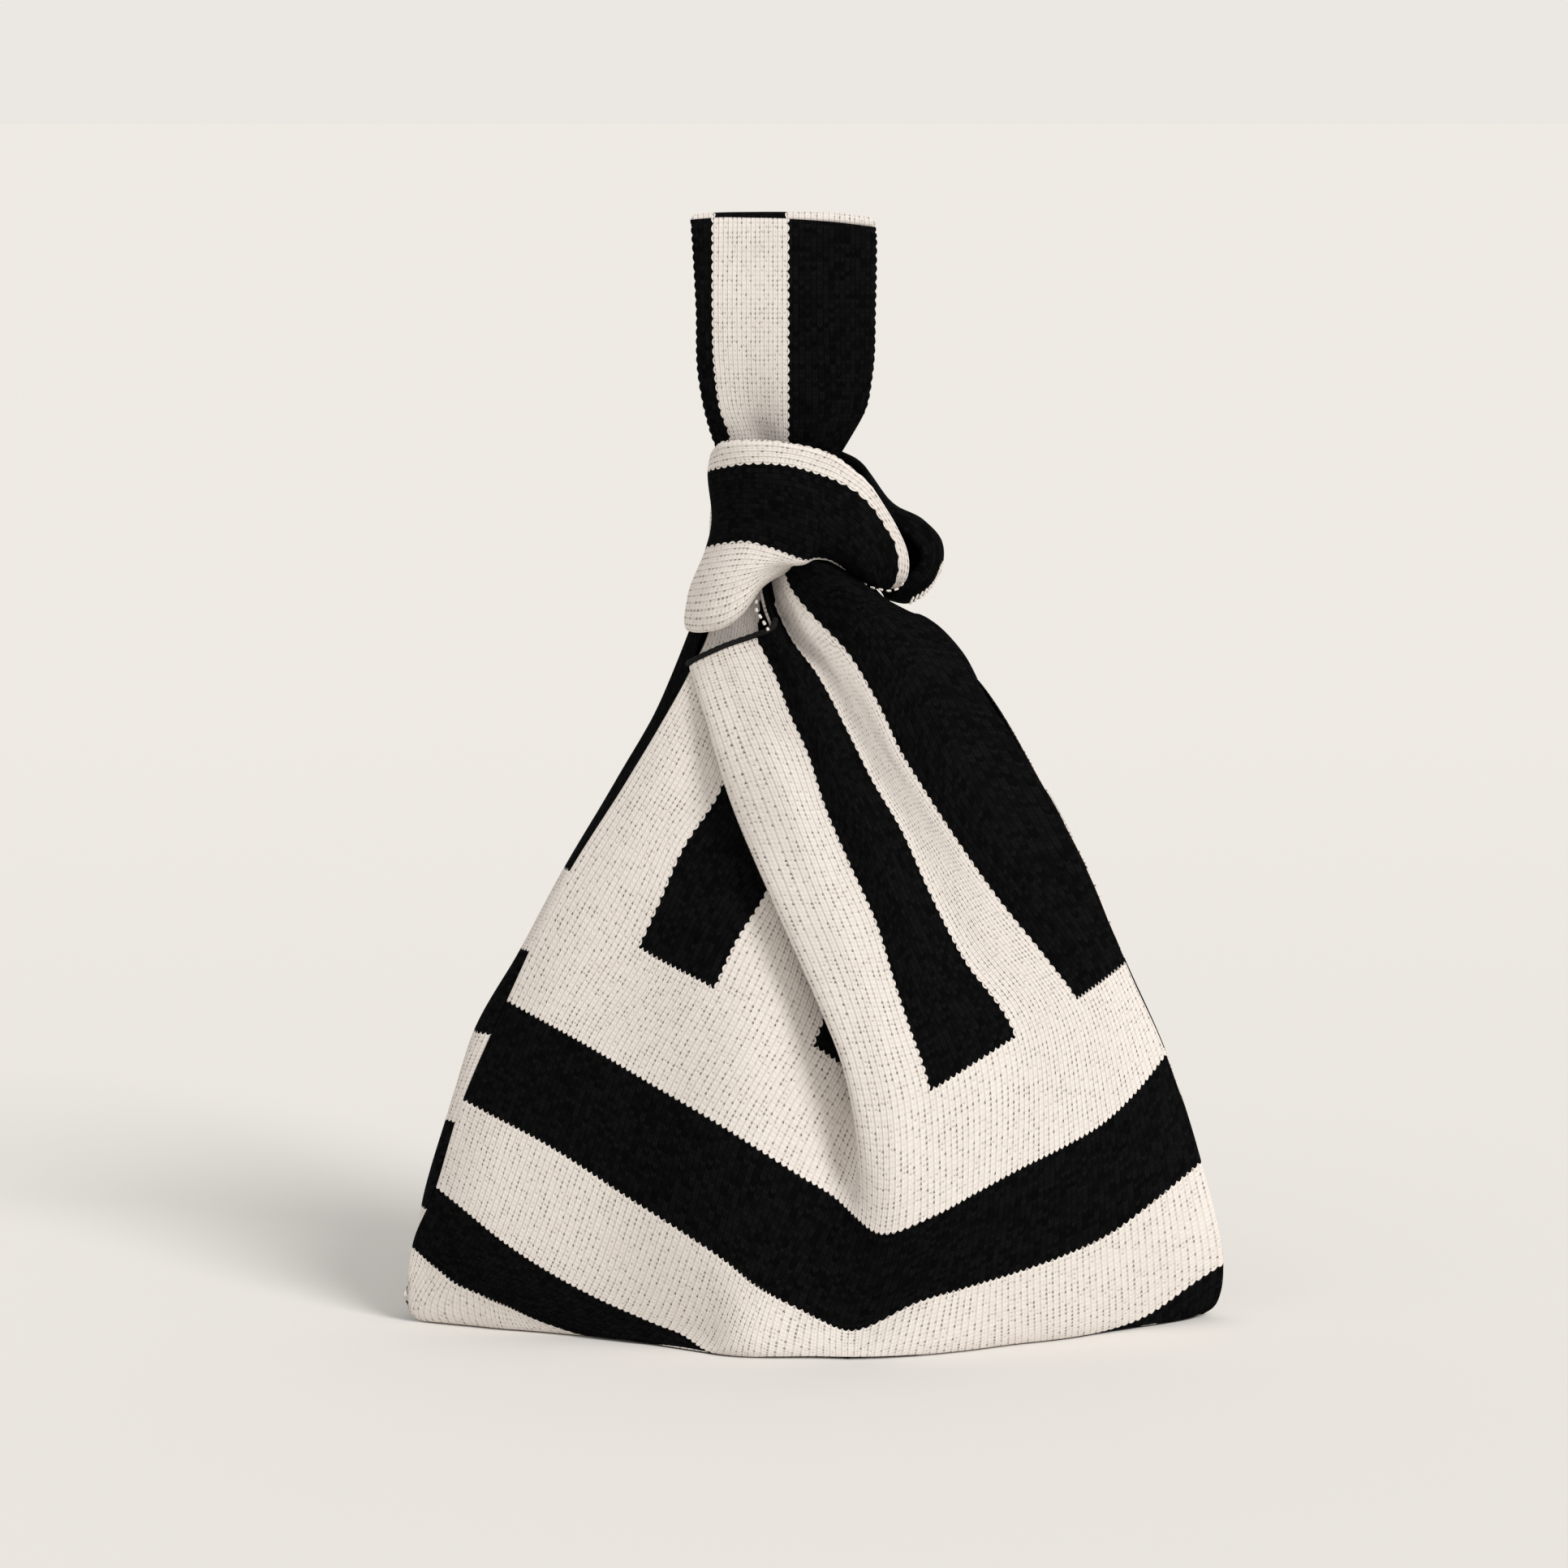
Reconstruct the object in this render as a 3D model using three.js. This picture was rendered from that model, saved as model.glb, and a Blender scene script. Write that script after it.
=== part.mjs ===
// Knitted knot bag: its long handle is drawn through its short handle, which closes the mouth.
// Millimetres, +Z up, the front faces -Y, and the origin is on the floor under the middle of the base.
import * as THREE from 'three';

// Driving dimensions
const BAG_WIDTH = 281; // widest, just above the base
const BAG_DEPTH = 116; // front nose to back nose of the filled base
const BODY_HEIGHT = 240; // floor to the top of the body panels
const STRAP_WIDTH = 63.2; // flat width of the long handle
const KNIT = 3; // thickness of the double knit
const PLAY = 0.5; // gap between neighbouring pieces
const SEAM_RADIUS = 1.3; // a linked seam's rolled edge
const HEM_RADIUS = 1.4; // the chain that finishes the mouth
const HEM_PLAY = 0.75; // gap of that chain over the panels' top edges
const SEAM_FORWARD = 8; // how far the left side seam is pulled to the front
const THROAT_RISE = 10; // panels' top to where the gathered long handle starts, inside the knot
const THROAT_DEPTH = 16; // front to back of the gathered long handle
const PIVOT_RISE = 75.5; // panels' top to where the wrist loop bends over the knot
const PIVOT_RADIUS = 6.5; // the loop's gathered lower end
const LOOP_HEIGHT = 66; // that bend to the top edge of the loop's two legs
const LOOP_SEAM_RADIUS = 1.6; // seam that joins the two legs
const LOOP_OFFSET = -11.1; // the loop stands left of the bag's middle
const SHOULDER_RISE = 26; // panels' top to where the long handle's shoulders end, behind the band
const ROOT_PLAY = 1.8; // gap of the short handle's roots to the panels that they line
const SHORT_SHOULDER_DROP = 26; // the short handle's roots start this far inside the panels
const SHORT_SHOULDER_RISE = 22; // and end this far above them
const KNOT_HALF_WIDTH = 42; // reach of the short handle round the knot, to the side
const KNOT_HALF_DEPTH = 28; // the same, to the front and back
const BAND_DROP = 2; // how far the short handle round the knot hangs over the panels' top
const BAND_HEIGHT = 66;
const BAND_SEAM_RADIUS = 1.7; // seam between the band's two halves
const FOLD_HALF_WIDTH = 15; // the long fold down the front

// Heights of the knot and the loop, which stand on the body
const THROAT_BOTTOM = BODY_HEIGHT + THROAT_RISE;
const PIVOT_HEIGHT = BODY_HEIGHT + PIVOT_RISE;
const LOOP_TOP = PIVOT_HEIGHT + LOOP_HEIGHT;
const SHOULDER_TOP = BODY_HEIGHT + SHOULDER_RISE;
const SHORT_SHOULDER_BOTTOM = BODY_HEIGHT - SHORT_SHOULDER_DROP;
const SHORT_SHOULDER_TOP = BODY_HEIGHT + SHORT_SHOULDER_RISE;
const BAND_BOTTOM = BODY_HEIGHT - BAND_DROP;

// How finely the pieces are faceted
const PANEL_ACROSS = 24;
const PANEL_UP = 16;
const UNDER_ROWS = 2;
const STRAP_ACROSS = 10;
const STRAP_UP = 8;
const BAND_AROUND = 22;
const BAND_UP = 4;
const LEG_ACROSS = 4;
const LEG_UP = 14;
const LEG_TURN_ROWS = 3;
const TUBE_STEPS = 20;
const TUBE_SIDES = 6;

// Body outline by height, as shares of the body's height, half the width and half the depth:
// height, left side seam, left swell of the back, right side seam, front depth, back depth
const BODY_SHARES = [
  [0, -0.905, -0.915, 0.9, 0.87, 0.87],
  [0.05, -0.965, -0.978, 0.958, 0.965, 0.965],
  [0.11, -0.993, -1, 0.994, 1, 1],
  [0.19, -0.954, -0.971, 0.974, 0.98, 0.97],
  [0.29, -0.89, -0.922, 0.929, 0.91, 0.89],
  [0.42, -0.804, -0.854, 0.85, 0.81, 0.78],
  [0.54, -0.719, -0.737, 0.754, 0.7, 0.66],
  [0.67, -0.598, -0.616, 0.662, 0.6, 0.55],
  [0.79, -0.47, -0.484, 0.544, 0.51, 0.46],
  [0.925, -0.311, -0.335, 0.413, 0.43, 0.36],
  [1, -0.256, -0.278, 0.32, 0.38, 0.29],
];

// Turn of the panels into the side seams, as a share of the body's depth
const CORNER_SHARE = 0.1;
// Where the back turns out past the left seam: shares of the swell and of the seam's forward place
const SWELL_TURN_SHARES = [
  [0, -1],
  [0.25, -0.7],
  [1, 0.4],
];

// Half plans of the body between its seams: place across, bulge from the line between the seams
const FRONT_PLAN_SHARES = [
  [-0.82, 0.33],
  [-0.66, 0.45],
  [-0.5, 0.59],
  [-0.27, 0.925],
  [0, 1],
  [0.28, 0.96],
  [0.5, 0.76],
  [0.66, 0.6],
  [0.82, 0.41],
];
const BACK_PLAN_SHARES = [
  [-0.74, 0.52],
  [-0.4, 0.86],
  [0, 1],
  [0.4, 0.86],
  [0.76, 0.46],
];

// Top edge of the panels, from the left seam to the right one, as shares of the body's height
const MOUTH_SHARES = [
  [0, 0.942],
  [0.18, 0.97],
  [0.38, 1],
  [0.75, 1],
  [1, 0.975],
];

// The long fold down the front: share of the body's height, place across as a share of half the
// width, rise as a share of the knit's thickness
const FOLD_SHARES = [
  [0, 0.2, 0],
  [0.14, 0.19, 0],
  [0.33, 0.155, 2],
  [0.5, 0.07, 3.3],
  [0.67, -0.045, 3.7],
  [0.85, -0.17, 3],
  [1, -0.24, 2],
];

// Long handle from the throat's bottom to the loop's top: share of that height, left and right
// edges as shares of the strap's width
const HANDLE_SHARES = [
  [0, -0.09, 0.39],
  [0.11, -0.13, 0.38],
  [0.24, -0.25, 0.36],
  [0.35, -0.33, 0.34],
  [0.44, -0.372, 0.38],
  [0.5, -0.445, 0.45],
  [0.56, -0.472, 0.473],
  [0.72, -0.48, 0.49],
  [0.87, -0.494, 0.498],
  [1, -0.506, 0.503],
];

// Side view of one leg of the loop, from the pivot up: share of its height, reach of its outer face
// as a share of the pivot's radius, its thickness as a share of the knit's
const LEG_SHARES = [
  [0, 1, 2],
  [0.12, 1.15, 2.05],
  [0.28, 1.45, 1.5],
  [0.45, 1.7, 1],
  [0.7, 1.75, 1],
  [0.87, 1.3, 1],
  [0.95, 0.9, 1],
  [1, 0.6, 1],
];
const INNER_DROP_SHARE = 0.8; // how far the inner face goes below the pivot

// Where the long handle's shoulders leave the panels' top edge and end in the throat, across,
// and how fast they draw together, sideways and front to back
const LONG_ROOT_SHARE = 0.35;
const DRAW_SIDEWAYS = 2;
const DRAW_FLAT = 5;
const SHOULDER_LEFT_SHARE = -0.125;
const SHOULDER_RIGHT_SHARE = 0.38;
// Where the short handle's roots lie along the panels, and along the band that they end in
const SHORT_FRONT_ROOT_SHARES = [0.08, 0.25];
const SHORT_BACK_ROOT_SHARES = [0.11, 0.18];
const SHORT_FRONT_TOP_SHARES = [0.15, 0.36];
const SHORT_BACK_TOP_SHARES = [0.09, 0.22];

// The short handle's two halves round the knot: share of the way, place across and front to back
// as shares of the knot, lower and upper edges as shares of the band's height
const BAND_FRONT_SHARES = [
  [0, -0.88, -0.36, 0.2, 0.93],
  [0.1, -0.97, -0.04, 0.06, 0.97],
  [0.2, -0.98, 0.4, 0, 0.99],
  [0.32, -0.82, 0.82, 0, 1],
  [0.45, -0.5, 1, 0.1, 1],
  [0.6, -0.1, 1.06, 0.32, 0.98],
  [0.74, 0.25, 1, 0.33, 0.88],
  [0.86, 0.5, 0.82, 0.25, 0.7],
  [0.95, 0.7, 0.56, 0.19, 0.5],
  [1, 0.79, 0.4, 0.17, 0.42],
];
const BAND_BACK_SHARES = [
  [0, -0.871, -0.393, 0.2, 0.93],
  [0.05, -0.838, -0.486, 0.19, 0.94],
  [0.14, -0.66, -0.7, 0.18, 0.96],
  [0.28, -0.2, -0.88, 0.18, 0.97],
  [0.45, 0.24, -0.88, 0.16, 0.95],
  [0.6, 0.58, -0.68, 0.13, 0.82],
  [0.74, 0.86, -0.34, 0.14, 0.72],
  [0.88, 1.03, -0.03, 0.15, 0.62],
  [0.96, 0.99, 0.2, 0.15, 0.5],
  [1, 0.902, 0.34, 0.15, 0.42],
];

// Materials
const creamKnit = new THREE.MeshStandardMaterial({ color: 0xe6ddd0, roughness: 0.95, metalness: 0 });
const blackKnit = new THREE.MeshStandardMaterial({ color: 0x0c0c0d, roughness: 0.95, metalness: 0 });
const blackThread = new THREE.MeshStandardMaterial({ color: 0x101010, roughness: 0.9, metalness: 0 });

// The front pieces face -Y and the back pieces +Y.
const FRONT = -1;
const BACK = 1;

const bag = new THREE.Group();

// Adds a named piece to the bag.
function addPiece(name, geometry, material) {
  const piece = new THREE.Mesh(geometry, material);
  piece.name = name;
  bag.add(piece);
}

// Reads a table whose rows start with their own place, smoothly between the rows.
function readTable(rows, place) {
  const last = rows.length - 1;
  const at = THREE.MathUtils.clamp(place, rows[0][0], rows[last][0]);
  let i = 0;
  while (i < last - 1 && rows[i + 1][0] < at) i += 1;
  const before = rows[Math.max(i - 1, 0)];
  const low = rows[i];
  const high = rows[i + 1];
  const after = rows[Math.min(i + 2, last)];
  const span = high[0] - low[0];
  const t = (at - low[0]) / span;
  return low.map((value, k) => {
    const leave = ((high[k] - before[k]) / (high[0] - before[0])) * span;
    const arrive = ((after[k] - value) / (after[0] - low[0])) * span;
    const turn = 2 * (value - high[k]) + leave + arrive;
    return value + t * (leave + t * (3 * (high[k] - value) - 2 * leave - arrive + t * turn));
  });
}

// Turns a closed body's triangles over if they face inwards.
function faceOutwards(geometry) {
  const body = geometry.index ? geometry.toNonIndexed() : geometry;
  const position = body.attributes.position;
  const [a, b, c] = [new THREE.Vector3(), new THREE.Vector3(), new THREE.Vector3()];
  let volume = 0;
  for (let i = 0; i < position.count; i += 3) {
    a.fromBufferAttribute(position, i);
    b.fromBufferAttribute(position, i + 1);
    c.fromBufferAttribute(position, i + 2);
    volume += a.dot(b.cross(c));
  }
  for (let i = 0; volume < 0 && i < position.count; i += 3) {
    b.fromBufferAttribute(position, i + 1);
    c.fromBufferAttribute(position, i + 2);
    position.setXYZ(i + 1, c.x, c.y, c.z);
    position.setXYZ(i + 2, b.x, b.y, b.z);
  }
  body.deleteAttribute('uv');
  body.deleteAttribute('normal');
  body.computeVertexNormals();
  return body;
}

// Samples a surface, given as a function of two shares, into a grid of points.
function grid(pointAt, across, up) {
  const columns = [];
  for (let i = 0; i <= across; i += 1) {
    const column = [];
    for (let j = 0; j <= up; j += 1) column.push(pointAt(i / across, j / up));
    columns.push(column);
  }
  return columns;
}

// Closes an outer and an inner surface into one sheet of cloth.
function sheetGeometry(outerAt, innerAt, across, up) {
  const outer = grid(outerAt, across, up);
  const inner = grid(innerAt, across, up);
  const vertices = [];
  const quad = (...corners) => {
    const [p, q, r, s] = corners;
    for (const corner of [p, q, r, p, r, s]) vertices.push(corner.x, corner.y, corner.z);
  };
  for (let i = 0; i < across; i += 1) {
    for (let j = 0; j < up; j += 1) {
      quad(outer[i][j], outer[i + 1][j], outer[i + 1][j + 1], outer[i][j + 1]);
      quad(inner[i][j], inner[i][j + 1], inner[i + 1][j + 1], inner[i + 1][j]);
    }
    quad(outer[i + 1][0], outer[i][0], inner[i][0], inner[i + 1][0]);
    quad(outer[i][up], outer[i + 1][up], inner[i + 1][up], inner[i][up]);
  }
  for (let j = 0; j < up; j += 1) {
    quad(outer[0][j], outer[0][j + 1], inner[0][j + 1], inner[0][j]);
    quad(outer[across][j + 1], outer[across][j], inner[across][j], inner[across][j + 1]);
  }
  const geometry = new THREE.BufferGeometry();
  geometry.setAttribute('position', new THREE.Float32BufferAttribute(vertices, 3));
  return faceOutwards(geometry);
}

// Moves a surface level, square to its own run, towards the given side. Left of the run is +1.
function levelOffset(pointAt, distance, side) {
  const reachShare = 0.002;
  return (u, v) => {
    const low = pointAt(Math.max(u - reachShare, 0), v);
    const high = pointAt(Math.min(u + reachShare, 1), v);
    const sideways = new THREE.Vector3(low.y - high.y, high.x - low.x, 0).normalize();
    return pointAt(u, v).addScaledVector(sideways, side * distance);
  };
}

// A round seam or hem along a smooth line of points.
function seamGeometry(points, radius) {
  const section = new THREE.Shape();
  for (let k = 0; k < TUBE_SIDES; k += 1) {
    const angle = (k / TUBE_SIDES) * 2 * Math.PI;
    section[k ? 'lineTo' : 'moveTo'](radius * Math.cos(angle), radius * Math.sin(angle));
  }
  const path = new THREE.CatmullRomCurve3(points);
  return faceOutwards(new THREE.ExtrudeGeometry(section, { steps: TUBE_STEPS, extrudePath: path }));
}

// Points evenly spread between two shares, each from the given function.
function pointsBetween(start, end, pointAt) {
  const points = [];
  for (let i = 0; i <= TUBE_STEPS; i += 1) {
    points.push(pointAt(THREE.MathUtils.lerp(start, end, i / TUBE_STEPS)));
  }
  return points;
}

// One level of the body: its seams, swell and depths in millimetres.
function bodyLevel(height) {
  const [, left, swell, right, front, back] = readTable(BODY_SHARES, height / BODY_HEIGHT);
  return {
    left: (left * BAG_WIDTH) / 2,
    swell: (swell * BAG_WIDTH) / 2,
    right: (right * BAG_WIDTH) / 2,
    front: (front * BAG_DEPTH) / 2,
    back: (back * BAG_DEPTH) / 2,
  };
}

// Plan points where a panel leaves a seam straight and turns into its own run.
function cornerTurn(seamX, seamY, inwards, facing, radius) {
  const lead = SEAM_RADIUS + PLAY;
  return [0, 1, 2, 3].map((k) => {
    const angle = (Math.max(k - 1, 0) * Math.PI) / 8;
    const along = k ? lead + radius * Math.sin(angle) : 0;
    return new THREE.Vector3(
      seamX + inwards * radius * (1 - Math.cos(angle)),
      seamY + facing * along,
      0,
    );
  });
}

// The body's plan at a height, from the left seam to the right one, along the front or the back.
// On the left the back swells out past the seam.
function makePlan(facing, height) {
  const level = bodyLevel(height);
  const isFront = facing === FRONT;
  const edge = isFront ? level.left : level.swell;
  const depth = isFront ? level.front : level.back;
  const middle = (edge + level.right) / 2;
  const half = (level.right - edge) / 2;
  const corner = CORNER_SHARE * depth;
  const rows = isFront ? FRONT_PLAN_SHARES : BACK_PLAN_SHARES;
  const run = rows.map(([across, out]) => {
    const seamLine = isFront ? (-SEAM_FORWARD * (1 - across)) / 2 : 0;
    return new THREE.Vector3(
      middle + across * half,
      THREE.MathUtils.lerp(seamLine, facing * depth, out),
      0,
    );
  });
  const swell = level.left - level.swell;
  const start = isFront
    ? cornerTurn(level.left, -SEAM_FORWARD, 1, facing, corner)
    : SWELL_TURN_SHARES.map(([out, back]) => {
        return new THREE.Vector3(level.left - out * swell, back * SEAM_FORWARD, 0);
      });
  const end = cornerTurn(level.right, 0, -1, facing, corner).reverse();
  return new THREE.CatmullRomCurve3([...start, ...run, ...end]);
}

// Keeps the plans that were made, because every point of a panel asks for one.
const planStore = new Map();
function planAt(facing, height) {
  const key = `${facing} ${height.toFixed(4)}`;
  if (!planStore.has(key)) planStore.set(key, makePlan(facing, height));
  return planStore.get(key);
}

// How far the long fold stands out of the front.
function foldRise(x, height) {
  const [, across, rise] = readTable(FOLD_SHARES, height / BODY_HEIGHT);
  const offset = (x - (across * BAG_WIDTH) / 2) / FOLD_HALF_WIDTH;
  return rise * KNIT * Math.exp(-offset * offset);
}

// A point of a panel's outer wall: a share of the way between the seams, and a height.
function wallPoint(facing, u, height) {
  const plan = planAt(facing, height);
  const trimShare = (SEAM_RADIUS + 2 * PLAY) / plan.getLength();
  const point = plan.getPointAt(THREE.MathUtils.lerp(trimShare, 1 - trimShare, u));
  if (facing === FRONT) point.y -= foldRise(point.x, height);
  return point.setZ(height);
}

// Top edge of a panel at a share of the way between the seams.
function mouthHeight(u) {
  return readTable(MOUTH_SHARES, u)[1] * BODY_HEIGHT;
}

// The base seam runs straight between the feet of the side seams.
function baseSeamPoint(u, inset) {
  const { left, right } = bodyLevel(0);
  const x = THREE.MathUtils.lerp(left + inset, right - inset, u);
  const y = THREE.MathUtils.lerp(-SEAM_FORWARD, 0, u);
  return new THREE.Vector3(x, y, 0);
}

// A panel's surface at a depth in the cloth: from the base seam out under the bag, then up the wall.
function panelSurface(facing, depth) {
  const rows = UNDER_ROWS + PANEL_UP;
  const underShare = UNDER_ROWS / rows;
  const wall = (u, v) => wallPoint(facing, u, THREE.MathUtils.lerp(depth, mouthHeight(u), v));
  const inset = levelOffset(wall, depth, -facing);
  return (u, v) => {
    if (v >= underShare) return inset(u, (v - underShare) / (1 - underShare));
    const rim = baseSeamPoint(u, 2 * KNIT);
    rim.y += facing * (SEAM_RADIUS + PLAY);
    rim.z = depth;
    return rim.lerp(inset(u, 0), v / underShare);
  };
}

// Front and back panels
function addPanels() {
  for (const [name, facing, material] of [
    ['front_panel', FRONT, creamKnit],
    ['back_panel', BACK, blackKnit],
  ]) {
    const rows = UNDER_ROWS + PANEL_UP;
    const [outer, inner] = [panelSurface(facing, 0), panelSurface(facing, KNIT)];
    addPiece(name, sheetGeometry(outer, inner, PANEL_ACROSS, rows), material);
  }
}

// Linked seams: one up each side, and one across the underside
function addSeams() {
  const bottom = SEAM_RADIUS + PLAY;
  for (const [name, side, seamY, inwards] of [
    ['side_seam_left', 'left', -SEAM_FORWARD, 1],
    ['side_seam_right', 'right', 0, -1],
  ]) {
    const top = mouthHeight(side === 'left' ? 0 : 1) - bottom;
    const points = pointsBetween(bottom, top, (height) => {
      return new THREE.Vector3(bodyLevel(height)[side] + (inwards * KNIT) / 2, seamY, height);
    });
    addPiece(name, seamGeometry(points, SEAM_RADIUS), blackThread);
  }
  const base = pointsBetween(0, 1, (u) => baseSeamPoint(u, 2 * KNIT).setZ(KNIT / 2));
  addPiece('base_seam', seamGeometry(base, SEAM_RADIUS), blackThread);
}

// Chains that finish the mouth between the handles' roots
function addMouthHems() {
  for (const [name, facing] of [
    ['mouth_hem_front', FRONT],
    ['mouth_hem_back', BACK],
  ]) {
    const wall = (u) => wallPoint(facing, u, mouthHeight(u));
    const middle = levelOffset(wall, KNIT / 2, -facing);
    const lift = HEM_PLAY + HEM_RADIUS;
    const inset = (HEM_RADIUS + PLAY) / planAt(facing, BODY_HEIGHT).getLength();
    const points = pointsBetween(inset, LONG_ROOT_SHARE - 2 * inset, (u) => {
      return middle(u, 0).setZ(mouthHeight(u) + lift);
    });
    addPiece(name, seamGeometry(points, HEM_RADIUS), blackThread);
  }
}

// The long handle's two roots: they go on from the panels' top edges and draw together in the knot.
function addLongShoulders() {
  const topY = THROAT_DEPTH / 2 + PLAY + KNIT;
  for (const [name, facing, material] of [
    ['long_shoulder_front', FRONT, creamKnit],
    ['long_shoulder_back', BACK, blackKnit],
  ]) {
    const outer = (u, v) => {
      const along = THREE.MathUtils.lerp(LONG_ROOT_SHARE, 1, u);
      const foot = mouthHeight(along);
      const low = wallPoint(facing, along, foot);
      low.z += PLAY;
      const shareX = THREE.MathUtils.lerp(SHOULDER_LEFT_SHARE, SHOULDER_RIGHT_SHARE, u);
      const high = new THREE.Vector3(LOOP_OFFSET + shareX * STRAP_WIDTH, facing * topY, SHOULDER_TOP);
      return new THREE.Vector3(
        THREE.MathUtils.lerp(low.x, high.x, 1 - (1 - v) ** DRAW_SIDEWAYS),
        THREE.MathUtils.lerp(low.y, high.y, 1 - (1 - v) ** DRAW_FLAT),
        THREE.MathUtils.lerp(low.z, high.z, v),
      );
    };
    const inner = levelOffset(outer, KNIT, -facing);
    addPiece(name, sheetGeometry(outer, inner, STRAP_ACROSS, STRAP_UP), material);
  }
}

// The short handle's two roots: they lie inside the panels and end inside the band.
function addShortShoulders() {
  const hemTop = BODY_HEIGHT + HEM_PLAY + 2 * HEM_RADIUS;
  for (const [name, facing, material, shares, rootShares, topShares] of [
    [
      'short_shoulder_front', FRONT, creamKnit,
      BAND_FRONT_SHARES, SHORT_FRONT_ROOT_SHARES, SHORT_FRONT_TOP_SHARES,
    ],
    [
      'short_shoulder_back', BACK, blackKnit,
      BAND_BACK_SHARES, SHORT_BACK_ROOT_SHARES, SHORT_BACK_TOP_SHARES,
    ],
  ]) {
    const wall = (u, v) => {
      const along = THREE.MathUtils.lerp(...rootShares, u);
      const height = THREE.MathUtils.lerp(SHORT_SHOULDER_BOTTOM, SHORT_SHOULDER_TOP, v);
      return wallPoint(facing, along, Math.min(height, BODY_HEIGHT)).setZ(height);
    };
    const lining = levelOffset(wall, KNIT + ROOT_PLAY, -facing);
    const band = levelOffset((u, v) => bandPoint(shares, u, v), KNIT + PLAY, -facing);
    const outer = (u, v) => {
      const point = lining(u, v);
      const above = (point.z - hemTop) / (SHORT_SHOULDER_TOP - hemTop);
      const high = band(THREE.MathUtils.lerp(...topShares, u), 0).setZ(point.z);
      return point.lerp(high, THREE.MathUtils.clamp(above, 0, 1));
    };
    const inner = levelOffset(outer, KNIT, -facing);
    addPiece(name, sheetGeometry(outer, inner, STRAP_ACROSS, STRAP_UP), material);
  }
}

// A point of the short handle's outer face round the knot.
function bandPoint(shares, u, v) {
  const [, across, forward, low, high] = readTable(shares, u);
  return new THREE.Vector3(
    across * KNOT_HALF_WIDTH,
    FRONT * forward * KNOT_HALF_DEPTH,
    BAND_BOTTOM + THREE.MathUtils.lerp(low, high, v) * BAND_HEIGHT,
  );
}

// The short handle, wrapped round the knot in two halves that a seam joins
function addBand() {
  const ends = [];
  for (const [name, facing, material, shares] of [
    ['short_band_front', FRONT, creamKnit, BAND_FRONT_SHARES],
    ['short_band_back', BACK, blackKnit, BAND_BACK_SHARES],
  ]) {
    const outer = (u, v) => bandPoint(shares, u, v);
    const inner = levelOffset(outer, KNIT, -facing);
    addPiece(name, sheetGeometry(outer, inner, BAND_AROUND, BAND_UP), material);
    ends.push(levelOffset(outer, KNIT / 2, -facing));
  }
  const [frontEnd, backEnd] = ends;
  const points = pointsBetween(0, 1, (v) => frontEnd(1, v).lerp(backEnd(1, v), 0.5));
  addPiece('short_band_seam', seamGeometry(points, BAND_SEAM_RADIUS), blackThread);
}

// Left or right edge of the long handle at a height.
function handleEdge(height, u) {
  const [, left, right] = readTable(HANDLE_SHARES, (height - THROAT_BOTTOM) / (LOOP_TOP - THROAT_BOTTOM));
  return LOOP_OFFSET + THREE.MathUtils.lerp(left, right, u) * STRAP_WIDTH;
}

// The gathered stretch of the long handle that slides through the knot, in two halves
function addThroat() {
  const top = PIVOT_HEIGHT - PIVOT_RADIUS - PLAY;
  for (const [name, facing, material] of [
    ['throat_front', FRONT, creamKnit],
    ['throat_back', BACK, blackKnit],
  ]) {
    const face = (distance) => (u, v) => {
      const height = THREE.MathUtils.lerp(THROAT_BOTTOM, top, v);
      return new THREE.Vector3(handleEdge(height, u), facing * distance, height);
    };
    const cloth = sheetGeometry(face(THROAT_DEPTH / 2), face(PLAY / 2), LEG_ACROSS, STRAP_UP);
    addPiece(name, cloth, material);
  }
}

// Side view of one face of a leg: its reach and height. Below the pivot the outer face goes round
// the gathered end, and the inner one runs straight down.
function legProfile(v, isOuter) {
  const turnShare = LEG_TURN_ROWS / LEG_UP;
  const middle = PLAY / 2;
  if (v < turnShare) {
    const angle = (v / turnShare) * (Math.PI / 2);
    const reach = isOuter ? (PIVOT_RADIUS - middle) * Math.sin(angle) : 0;
    const drop = isOuter ? Math.cos(angle) : INNER_DROP_SHARE * (1 - v / turnShare);
    return [middle + reach, PIVOT_HEIGHT - drop * PIVOT_RADIUS];
  }
  const rise = (v - turnShare) / (1 - turnShare);
  const [, reach, thickness] = readTable(LEG_SHARES, rise);
  const inset = isOuter ? 0 : thickness * KNIT;
  return [
    Math.max(reach * PIVOT_RADIUS - inset, middle),
    THREE.MathUtils.lerp(PIVOT_HEIGHT, LOOP_TOP, rise),
  ];
}

// One face of a leg of the wrist loop.
function legSurface(facing, isOuter) {
  return (u, v) => {
    const [reach, height] = legProfile(v, isOuter);
    return new THREE.Vector3(handleEdge(height, u), facing * reach, height);
  };
}

// The wrist loop: two legs, gathered at the knot and joined by a seam at the top
function addWristLoop() {
  for (const [name, facing, material] of [
    ['wrist_leg_front', FRONT, creamKnit],
    ['wrist_leg_back', BACK, blackKnit],
  ]) {
    const leg = sheetGeometry(legSurface(facing, true), legSurface(facing, false), LEG_ACROSS, LEG_UP);
    addPiece(name, leg, material);
  }
  const height = LOOP_TOP + PLAY + LOOP_SEAM_RADIUS;
  const points = pointsBetween(0, 1, (u) => new THREE.Vector3(handleEdge(LOOP_TOP, u), 0, height));
  addPiece('wrist_seam', seamGeometry(points, LOOP_SEAM_RADIUS), blackThread);
}

addPanels();
addSeams();
addMouthHems();
addLongShoulders();
addShortShoulders();
addBand();
addThroat();
addWristLoop();

export default bag;
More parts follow.
